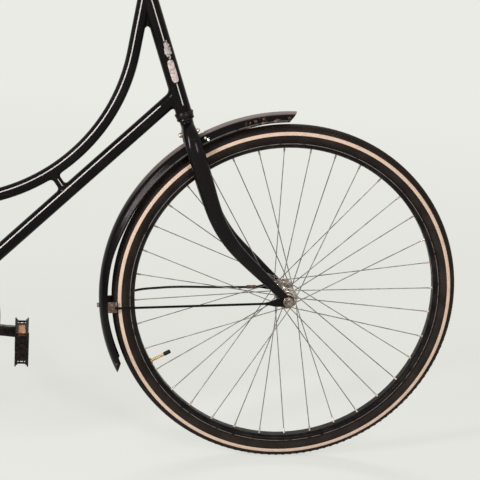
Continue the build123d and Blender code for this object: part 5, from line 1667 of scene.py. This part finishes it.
def case_body(front, rear, layers):
    """A closed body from layers of (inset, side) outlines."""
    form = Form()
    form.skin([
        [form.point((x, side, z)) for x, z in hull_outline(front, rear, inset)]
        for inset, side in layers
    ])
    return form


def plug(centre, axis, radius, depth, segments=64):
    """A closed round plug, to cut a hole with."""
    profile = [(0, 0), (0, radius), (depth, radius), (depth, 0)]
    return lathe(Form(), centre, axis, profile, segments)


def cut(piece, form):
    """Takes a closed form away from a piece."""
    tool = form.finish("cutter", finish("frame enamel"))
    modified(piece, "BOOLEAN", operation="DIFFERENCE", solver="EXACT", object=tool)
    bpy.data.objects.remove(tool)


def make_chaincase():
    """A closed pressed chaincase with rounded edges, a raised bead and screws."""
    low, high = corners("chaincase")
    near, far = high.y, low.y
    front, rear, wall = 0.127, 0.062, 0.0012
    body = case_body(front, rear, [
        (0.0020, near), (0.0006, near - 0.0008), (0, near - 0.0022), (0, (near + far) / 2),
        (0, far + 0.010), (0.0008, far + 0.0055), (0.0030, far + 0.0022),
        (0.0062, far + 0.0006), (0.0100, far),
    ])
    case = build(body, "chaincase_shell", "frame enamel", "frame", "black_paint", "chaincase")
    stay = (REAR_AXLE - BRACKET).normalized()
    across = Vector((-stay.z, 0, stay.x))
    run = (REAR_AXLE - BRACKET).length - 0.008
    up = (BRACKET + SEAT_UP * 0.505 - REAR_AXLE).normalized()
    aside = Vector((-up.z, 0, up.x))
    slot_middle = REAR_AXLE - stay * (run / 2) + LEFT * near
    notch_middle = REAR_AXLE + up * rear + LEFT * (near - 0.018)
    for tool in (
        case_body(front - wall, rear - wall, [
            (0, near - wall), (0, far + 0.009), (0.0030, far + 0.0035), (0.0090, far + wall),
        ]),
        plug(beside(BRACKET, near + 0.002), -LEFT, 0.016, 0.0045, 48),
        plug(beside(REAR_AXLE, near + 0.002), -LEFT, 0.046, 0.0045),
        block(Form(), slot_middle, stay, across, LEFT, (run, 0.024, 0.006)),
        block(Form(), notch_middle, up, aside, LEFT, (0.060, 0.022, 0.038)),
        plug(beside(BRACKET, far - 0.004), LEFT, 0.027, 0.012),
        plug(beside(REAR_AXLE, far - 0.004), LEFT, 0.00905, 0.012),
    ):
        cut(case, tool)
    tidy(case)
    smooth(case, 34)
    make_case_trim(front, rear, far)


def make_case_trim(front, rear, far):
    """The chaincase's raised bead, the lip round its opening and its screws."""
    trim = Form()
    path = [Vector((x, far + 0.0004, z)) for x, z in hull_outline(front, rear, 0.020)]
    section = ((-1, 0), (-0.7, 0.6), (0, 1.0), (0.7, 0.6), (1, 0), (0, -0.3))
    rings = []
    for place, after, before in zip(path, path[1:] + path[:1], path[-1:] + path[:-1]):
        out = (after - before).normalized().cross(LEFT)
        rings.append([
            trim.point(place + out * a * 0.0026 - LEFT * b * 0.0014) for a, b in section
        ])
    trim.skin(rings + rings[:1], ends=False)
    lathe(trim, beside(BRACKET, far + 0.0002), -LEFT, [
        (0, 0.0270), (0.0010, 0.0275), (0.0014, 0.0288), (0.0010, 0.0300), (0, 0.0305),
        (-0.0008, 0.0288),
    ], 64, loop=True)
    build(trim, "chaincase_bead", "frame enamel", "frame", "black_paint", sharp=50)
    head = [(0, 0.0), (0, 0.0042), (0.0009, 0.0040), (0.0016, 0.0026), (0.0018, 0)]
    screw = lathe(Form(), beside(BRACKET + AHEAD * 0.105, far), -LEFT, head, 16)
    screws = build(screw, "chaincase_screws", "zinc plate", "frame", "zinc_steel")
    grown(screws, "Repeat round an axis", Count=4, Centre=BRACKET, Axis=-LEFT, Step=radians(60))


# Cranks and pedals


def make_cranks():
    """Two cottered cranks with tapered arms."""
    boss = [(0, 0.0075), (0, 0.0155), (0.0012, 0.0170), (0.0190, 0.0170), (0.0200, 0.0158),
            (0.0200, 0.0078)]
    cotter = [(-0.022, 0), (-0.022, 0.0030), (-0.021, 0.0034), (-0.0140, 0.0034),
              (-0.0138, 0.0045), (0.0205, 0.0045), (0.022, 0.0038), (0.022, 0)]
    for which, hand, eye in (("right", -1, PEDAL_RIGHT), ("left", 1, PEDAL_LEFT)):
        heading = beside(eye - BRACKET, 0)
        reach = heading.length
        heading.normalize()
        across = Vector((-heading.z, 0, heading.x))
        outline = []
        for centre, first, whole in ((0, 90, 180), (reach, -128, 256)):
            for step in range(17):
                turn = radians(first) + radians(whole) * step / 16
                outline.append((centre + 0.013 * cos(turn), 0.013 * sin(turn)))
            if not centre:
                outline += [(0.02, -0.0127), (reach - 0.03, -0.0100), (reach - 0.018, -0.0104)]
        outline += [(reach - 0.018, 0.0104), (reach - 0.03, 0.0100), (0.02, 0.0127)]
        form = Form()
        rings = []
        for side, inset in (
            (0.088, 0.0022), (0.0886, 0.0008), (0.0900, 0), (0.0995, 0), (0.1012, 0.0010),
            (0.102, 0.0030),
        ):
            start = beside(BRACKET, hand * side)
            along, wide = 1 - inset * 1.2 / reach, 1 - inset / 0.013
            rings.append([
                form.point(start + heading * a * along + across * b * wide) for a, b in outline
            ])
        form.skin(rings)
        out = LEFT * hand
        lathe(form, beside(BRACKET, hand * 0.082), out, boss, 48, loop=True)
        pin = beside(BRACKET, hand * 0.093) + heading * 0.010
        lathe(form, pin, across, cotter, 20)
        hexagon(form, pin - across * 0.0135, -across, 0.010, 0.0045, 0.0008)
        lathe(form, beside(eye, hand * 0.1018), out,
              [(0, 0), (0, 0.0050), (0.0010, 0.0046), (0.0011, 0)], 24)
        build(form, f"crank_{which}_arm", "dark steel", "crankset", "dark_steel",
              f"crank_{which}", sharp=40)


def rounded_bar(form, centre, directions, sizes, radius, ends=0.0008):
    """A bar along its first direction with rounded long edges."""
    x_dir, y_dir, z_dir = directions
    long, wide, deep = sizes
    outline = []
    for sx, sy, start in ((1, 1, 0), (-1, 1, 90), (-1, -1, 180), (1, -1, 270)):
        for step in range(4):
            turn = radians(start + 30 * step)
            outline.append((
                sx * (wide / 2 - radius) + radius * cos(turn),
                sy * (deep / 2 - radius) + radius * sin(turn),
            ))
    less = 1 - 2 * ends / wide
    form.skin([
        [form.point(centre + x_dir * along + y_dir * a * scale + z_dir * b * scale)
         for a, b in outline]
        for along, scale in (
            (-long / 2, less), (-long / 2 + ends, 1), (long / 2 - ends, 1), (long / 2, less),
        )
    ])


def make_pedals():
    """Block pedals: barred steel ends, rubber blocks and sunk amber reflectors."""
    barrel = [
        (0.1025, 0), (0.1025, 0.0090), (0.1067, 0.0090), (0.1067, 0.0068), (0.107, 0.0068),
        (0.107, 0.0118), (0.111, 0.0118), (0.117, 0.0088), (0.189, 0.0088), (0.1945, 0.0122),
        (0.1978, 0.0126), (0.1992, 0.0116), (0.1999, 0.0080), (0.2000, 0),
    ]
    for body, hand, eye in (("pedal_right", -1, PEDAL_RIGHT), ("pedal_left", 1, PEDAL_LEFT)):
        eye = beside(eye, 0)
        out = LEFT * hand
        centre = eye + out * 0.153
        upright, level, sideways = (UP, AHEAD, out), (AHEAD, UP, out), (out, UP, AHEAD)
        steel, rubber, ribs, lens = Form(), Form(), Form(), Form()
        for side in (0.1085, 0.1975):
            for end in (1, -1):
                bar = eye + out * side
                rounded_bar(steel, bar + AHEAD * 0.0116 * end, upright,
                            (0.0680, 0.0028, 0.0030), 0.0008, 0.0010)
                rounded_bar(steel, bar + AHEAD * 0.0040 * end, upright,
                            (0.0540, 0.0024, 0.0024), 0.0006, 0.0006)
                rounded_bar(steel, bar + UP * 0.0262 * end, level,
                            (0.0240, 0.0036, 0.0030), 0.0008, 0.0004)
        lathe(steel, eye, out, barrel, 40)
        for end in (1, -1):
            for front in (1, -1):
                rounded_bar(rubber, centre + UP * 0.0180 * end + AHEAD * 0.0092 * front,
                            sideways, (0.086, 0.0270, 0.0036), 0.0012)
                rib = centre + UP * (0.0180 * end - 0.0102) + AHEAD * 0.0109 * front
                rounded_bar(ribs, rib, sideways, (0.080, 0.0026, 0.0020), 0.0006, 0.0006)
            rounded_bar(rubber, centre + UP * 0.0150 * end, sideways,
                        (0.0855, 0.0170, 0.0160), 0.001, 0.0004)
            rounded_bar(lens, centre + UP * 0.0246 * end, (out, AHEAD, UP),
                        (0.048, 0.0146, 0.0030), 0.0008, 0.0006)
        build(steel, f"{body}_cage", "dark steel", body, "dark_steel", f"{body}_frame", sharp=35)
        build(rubber, f"{body}_rubbers", "pedal rubber", body, "pedal_rubber",
              f"{body}_blocks", sharp=35)
        piece = build(ribs, f"{body}_ribs", "pedal rubber", body, "pedal_rubber")
        grown(piece, "Repeat along a line", Count=5, Offset=(0, 0, 0.0051))
        build(lens, f"{body}_lenses", "amber lens", body, "amber_lens",
              f"{body}_reflectors", sharp=35)


# Seat


# The saddle from back to front: part of its length, half width, top and underside
SADDLE_STATIONS = (
    (0.00, 0.55, 0.30, 0.20), (0.02, 0.74, 0.62, 0.10), (0.07, 0.90, 0.86, 0.03),
    (0.16, 0.985, 0.96, 0.0), (0.27, 0.98, 0.97, 0.0), (0.38, 0.83, 0.93, 0.0),
    (0.50, 0.59, 0.89, 0.02), (0.62, 0.40, 0.88, 0.04), (0.75, 0.30, 0.89, 0.06),
    (0.88, 0.25, 0.87, 0.10), (0.96, 0.20, 0.74, 0.16), (1.00, 0.12, 0.50, 0.28),
)
# Half of the saddle's section from its top to its underside: part of half width and height
SADDLE_SECTION = (
    (0, 1.0), (0.35, 0.985), (0.66, 0.90), (0.88, 0.70), (0.985, 0.42), (1.0, 0.16),
    (0.94, 0.03), (0.72, 0.02), (0.36, 0.05), (0, 0.07),
)


def make_saddle():
    """A sprung, padded saddle: the cover, its rails and its coil springs."""
    low, high = corners("saddle_top")
    size = high - low
    section = [*SADDLE_SECTION, *((-across, up) for across, up in SADDLE_SECTION[-2:0:-1])]
    form = Form()
    rings = []
    for t, half, crown, lift in SADDLE_STATIONS:
        row = []
        for across, up in section:
            dip = 0.05 * max(0, 1 - abs(across) / 0.4) if up > 0.9 and t > 0.1 else 0
            z = low.z + size.z * (lift + (crown - lift) * max(up - dip, 0))
            row.append(form.point((low.x + size.x * t, across * size.y / 2 * half, z)))
        rings.append(row)
    form.skin(rings)
    cover = build(form, "saddle_cover", "saddle cover", "frame", "black_vinyl", "saddle_top",
                  sharp=180)
    modified(cover, "SUBSURF", levels=3, render_levels=3)
    smooth(cover, 180)
    make_rails(low, size.x)


def make_rails(saddle_low, long):
    """The saddle's two rails and its coil springs between their cups."""
    low, high = corners("saddle_frame")
    wire, rail_z = 0.0035, low.z + 0.0045
    spring_x = low.x + 0.017
    clamp_x = corners("seat_post")[0].x + 0.015
    foot = [(-0.0045, 0), (-0.0045, 0.0160), (-0.0030, 0.0170), (-0.0010, 0.0170),
            (0.0004, 0.0162), (0.0004, 0)]
    cap = [(-0.0008, 0), (-0.0008, 0.0160), (0.0016, 0.0160), (0.0026, 0.0140), (0.0026, 0)]
    form = Form()
    for hand in (1, -1):
        rail = arc_path([
            (high.x - 0.002, hand * 0.009, saddle_low.z - wire + 0.001),
            (clamp_x + long * 0.16, hand * 0.022, rail_z),
            (clamp_x - long * 0.16, hand * 0.022, rail_z),
            (spring_x, hand * 0.058, rail_z),
        ], 0.022)
        tube(form, rail, wire, 12)
        lathe(form, Vector((spring_x, hand * 0.058, rail_z)), UP, foot, 32)
        top = Vector((spring_x, hand * 0.058, saddle_low.z - 0.0006))
        lathe(form, top, -UP, cap, 32)
    build(form, "saddle_rails", "dark steel", "frame", "dark_steel", "saddle_frame", sharp=40)
    for which, hand in (("left", 1), ("right", -1)):
        place = Vector((spring_x, hand * 0.058, rail_z))
        seed = block(Form(), place, AHEAD, LEFT, UP, (0.001, 0.001, 0.001))
        coil = build(seed, f"saddle_spring_{which}", "dark steel", "frame", "dark_steel")
        grown(coil, "Coil", Turns=5.0, Radius=0.0142, Wire=0.0026, sharp=60,
              Height=saddle_low.z - rail_z - 0.0045, Foot=place + UP * 0.0022)


# Handlebar


def make_grips():
    """Ribbed rubber grips with a rim at each end."""
    profile = rounded([
        (0, 0.0112), (0, 0.0150), (0.0010, 0.0162), (0.0040, 0.0162), (0.0052, 0.0140),
        (0.0100, 0.0135), (0.1120, 0.0142), (0.1165, 0.0150), (0.1180, 0.0162),
        (0.1235, 0.0162), (0.1250, 0.0140), (0.1250, 0),
    ], 0.0012, 2)
    rib = [(0, 0.0130), (0.0004, 0.0148), (0.0018, 0.0153), (0.0030, 0.0148), (0.0034, 0.0130)]
    for which, hand in (("left", 1), ("right", -1)):
        bar_end = Vector((0.0364, hand * 0.306, 1.1143))
        bar_bend = Vector((0.2277, hand * 0.2907, 1.1323))
        heading = (bar_end - bar_bend).normalized()
        start = bar_end - heading * 0.121
        build(lathe(Form(), start, heading, profile, 40), f"grip_{which}_sleeve", "grip rubber",
              "steering", "grip_rubber", f"grip_{which}", sharp=35)
        ribs = lathe(Form(), start + heading * 0.0125, heading, rib, 28, loop=True)
        piece = build(ribs, f"grip_{which}_ribs", "grip rubber", "steering", "grip_rubber")
        grown(piece, "Repeat along a line", Count=19, Offset=heading * 0.0052, sharp=45)


def make_reflector():
    """The round rear reflector in its plated rim."""
    low, high = corners("rear_reflector")
    centre = Vector((low.x, 0, (low.z + high.z) / 2))
    stem = high.x - low.x - 0.0085
    lens = lathe(Form(), centre, AHEAD, [
        (0.0008, 0), (0.0009, 0.0080), (0.0016, 0.0150), (0.0030, 0.0168), (0.0060, 0.0168),
        (0.0060, 0),
    ], 48)
    build(lens, "rear_reflector_lens", "red lens", "frame", "red_lens", "rear_reflector",
          sharp=40)
    rim = lathe(Form(), centre, AHEAD, [
        (0.0010, 0.0166), (0.0012, 0.0182), (0.0026, 0.0190), (0.0082, 0.0190),
        (0.0090, 0.0176), (0.0090, 0),
    ], 48)
    rim.faces = [face for face in rim.faces if len(face) < 40]
    lathe(rim, centre + AHEAD * 0.0085, AHEAD, [(0, 0), (0, 0.0045), (stem, 0.0045), (stem, 0)], 16)
    build(rim, "rear_reflector_rim", "chrome", "frame", "chrome", sharp=40)


# Stage


# Lamps: place, target, width and height, power
LAMPS = {
    "key lamp": ((-2.35, -1.90, 1.70), (0.3, 0, 0.55), (0.40, 1.6), "key"),
    "fill lamp": ((1.15, -3.15, 2.10), (0.3, 0, 0.55), (0.40, 1.6), "fill"),
    "rim lamp": ((0.5, 2.8, 3.0), (0.1, 0, 0.6), (2.5, 0.7), "fill"),
}


def floor_paint(stage):
    """A pale matt floor that shows its own colour, evened out away from the bicycle."""
    paint = Finish("floor", Roughness=0.9, Specular_IOR_Level=0.0)
    mottled = paint.noise(0.0375, 2)
    shaded = [value * 0.985 for value in stage.floor]
    paint.wire(Base_Color=paint.mix(mottled, stage.floor, shaded))
    glow = paint.node("ShaderNodeEmission", {"Color": (*stage.floor, 1)})
    away = paint.node("ShaderNodeVectorMath", {0: paint.place}, output=1, operation="LENGTH")
    part = paint.times(paint.seen_directly(), paint.fade(away, 1.2, 4.0, stage.even_near))
    shown = paint.node("ShaderNodeMixShader", {0: part, 1: paint.shader.outputs[0], 2: glow})
    paint.links.new(shown, paint.nodes["Material Output"].inputs["Surface"])
    return paint.material


def make_floor(stage):
    """A wide round floor."""
    form = Form()
    rings = [ring(form, Vector((0, 0, 0)), UP, radius, 64) for radius in (4.0, 12.0, 40.0)]
    form.skin(rings, ends=False)
    form.faces.append(tuple(rings[0]))
    ground = form.finish("floor", floor_paint(stage), closed=False)
    work = bmesh.new()
    work.from_mesh(ground.data)
    bmesh.ops.reverse_faces(work, faces=[face for face in work.faces if face.normal.z < 0])
    work.to_mesh(ground.data)
    work.free()


def make_sky(stage):
    """Even light from all round, with the floor's colour behind the bicycle."""
    world = bpy.data.worlds.new("studio")
    world.use_nodes = True
    sky = Wiring(world.node_tree)
    level = sky.node("ShaderNodeMapRange", {
        "Value": sky.seen_directly(), "To Min": stage.sky, "To Max": 1.0,
    })
    background = sky.nodes["Background"]
    background.inputs["Color"].default_value = (*stage.floor, 1)
    sky.links.new(level, background.inputs["Strength"])
    bpy.context.scene.world = world


def make_camera(stage):
    """The camera at the photograph's place and angle."""
    camera = bpy.data.cameras.new("camera")
    camera.lens = stage.lens
    camera.sensor_width = 36
    camera.clip_end = 100
    holder = bpy.data.objects.new("camera", camera)
    yaw, pitch, roll = stage.yaw, stage.pitch, stage.roll
    ahead = Vector((sin(yaw) * cos(pitch), cos(yaw) * cos(pitch), -sin(pitch)))
    right = Vector((cos(yaw), -sin(yaw), 0))
    up = right.cross(ahead)
    right, up = right * cos(roll) + up * sin(roll), up * cos(roll) - right * sin(roll)
    turn = Matrix((right, up, -ahead)).transposed()
    holder.matrix_world = Matrix.Translation(stage.eye) @ turn.to_4x4()
    return holder


def make_stage(stage):
    """A pale floor, soft lamps and the camera at the photograph's angle."""
    scene = bpy.context.scene
    scene.view_settings.view_transform = "Standard"
    make_floor(stage)
    make_sky(stage)
    for name, (place, target, size, power_name) in LAMPS.items():
        lamp = bpy.data.lights.new(name, "AREA")
        lamp.shape = "RECTANGLE"
        lamp.size, lamp.size_y = size
        lamp.energy = getattr(stage, power_name)
        holder = bpy.data.objects.new(name, lamp)
        scene.collection.objects.link(holder)
        holder.location = place
        heading = Vector(target) - Vector(place)
        holder.rotation_euler = heading.to_track_quat("-Z", "Y").to_euler()
    scene.camera = make_camera(stage)
    scene.collection.objects.link(scene.camera)


# Operators


class BICYCLE_OT_wheels(bpy.types.Operator):
    """Builds the tyres, rims, spokes, hubs and valves"""

    bl_idname = "bicycle.wheels"
    bl_label = "Wheels"
    bl_options = {"REGISTER", "UNDO"}

    def execute(self, context):
        sizes = context.scene.bicycle_wheels
        for which, axle in (("front", FRONT_AXLE), ("rear", REAR_AXLE)):
            make_tyre(which, axle, sizes)
            make_rim(which, axle, sizes)
            make_spokes(which, axle, sizes, HUBS[which])
            make_hub(which, axle, HUBS[which])
            make_valve(which, axle, sizes)
        return {"FINISHED"}


class BICYCLE_OT_fork(bpy.types.Operator):
    """Builds the fork, its races and the headset cups"""

    bl_idname = "bicycle.fork"
    bl_label = "Fork and headset"
    bl_options = {"REGISTER", "UNDO"}

    def execute(self, context):
        make_fork(context.scene.bicycle_fork)
        make_headset()
        return {"FINISHED"}


class BICYCLE_OT_guards(bpy.types.Operator):
    """Builds the two mudguards and the reflector"""

    bl_idname = "bicycle.guards"
    bl_label = "Mudguards"
    bl_options = {"REGISTER", "UNDO"}

    def execute(self, context):
        make_guards(context.scene.bicycle_guards)
        make_reflector()
        return {"FINISHED"}


class BICYCLE_OT_frame(bpy.types.Operator):
    """Finishes the frame's tubes and builds their brazed joints"""

    bl_idname = "bicycle.frame"
    bl_label = "Frame"
    bl_options = {"REGISTER", "UNDO"}

    def execute(self, context):
        make_joints()
        return {"FINISHED"}


class BICYCLE_OT_drive(bpy.types.Operator):
    """Builds the chaincase, cranks and pedals"""

    bl_idname = "bicycle.drive"
    bl_label = "Chaincase, cranks and pedals"
    bl_options = {"REGISTER", "UNDO"}

    def execute(self, context):
        make_chaincase()
        make_cranks()
        make_pedals()
        return {"FINISHED"}


class BICYCLE_OT_contact(bpy.types.Operator):
    """Builds the saddle and the grips"""

    bl_idname = "bicycle.contact"
    bl_label = "Saddle and grips"
    bl_options = {"REGISTER", "UNDO"}

    def execute(self, context):
        make_saddle()
        make_grips()
        return {"FINISHED"}


class BICYCLE_OT_stage(bpy.types.Operator):
    """Builds the floor, the lamps and the camera"""

    bl_idname = "bicycle.stage"
    bl_label = "Stage"
    bl_options = {"REGISTER", "UNDO"}

    def execute(self, context):
        make_stage(context.scene.bicycle_stage)
        return {"FINISHED"}


STEPS = (
    BICYCLE_OT_stage,
    BICYCLE_OT_wheels,
    BICYCLE_OT_fork,
    BICYCLE_OT_guards,
    BICYCLE_OT_frame,
    BICYCLE_OT_drive,
    BICYCLE_OT_contact,
)

GROUPS = {
    "bicycle_wheels": WheelSizes,
    "bicycle_guards": GuardSizes,
    "bicycle_fork": ForkSizes,
    "bicycle_tones": PaintTones,
    "bicycle_stage": StageTones,
}


class BICYCLE_PT_panel(bpy.types.Panel):
    """Lists the bicycle's sizes and its build steps"""

    bl_label = "Bicycle"
    bl_idname = "BICYCLE_PT_panel"
    bl_space_type = "VIEW_3D"
    bl_region_type = "UI"
    bl_category = "Bicycle"

    def draw(self, context):
        layout = self.layout
        for step in STEPS:
            layout.operator(step.bl_idname)
        for name in GROUPS:
            box = layout.box()
            group = getattr(context.scene, name)
            for label in group.__annotations__:
                box.prop(group, label)


def register():
    for group in GROUPS.values():
        bpy.utils.register_class(group)
    for name, group in GROUPS.items():
        setattr(bpy.types.Scene, name, bpy.props.PointerProperty(type=group))
    for step in (*STEPS, BICYCLE_PT_panel):
        bpy.utils.register_class(step)


def unregister():
    for step in reversed((*STEPS, BICYCLE_PT_panel)):
        bpy.utils.unregister_class(step)
    for name in GROUPS:
        delattr(bpy.types.Scene, name)
    for group in reversed(list(GROUPS.values())):
        bpy.utils.unregister_class(group)


def main():
    register()
    for step in STEPS:
        group, name = step.bl_idname.split(".")
        getattr(getattr(bpy.ops, group), name)()


if __name__ == "__main__":
    main()
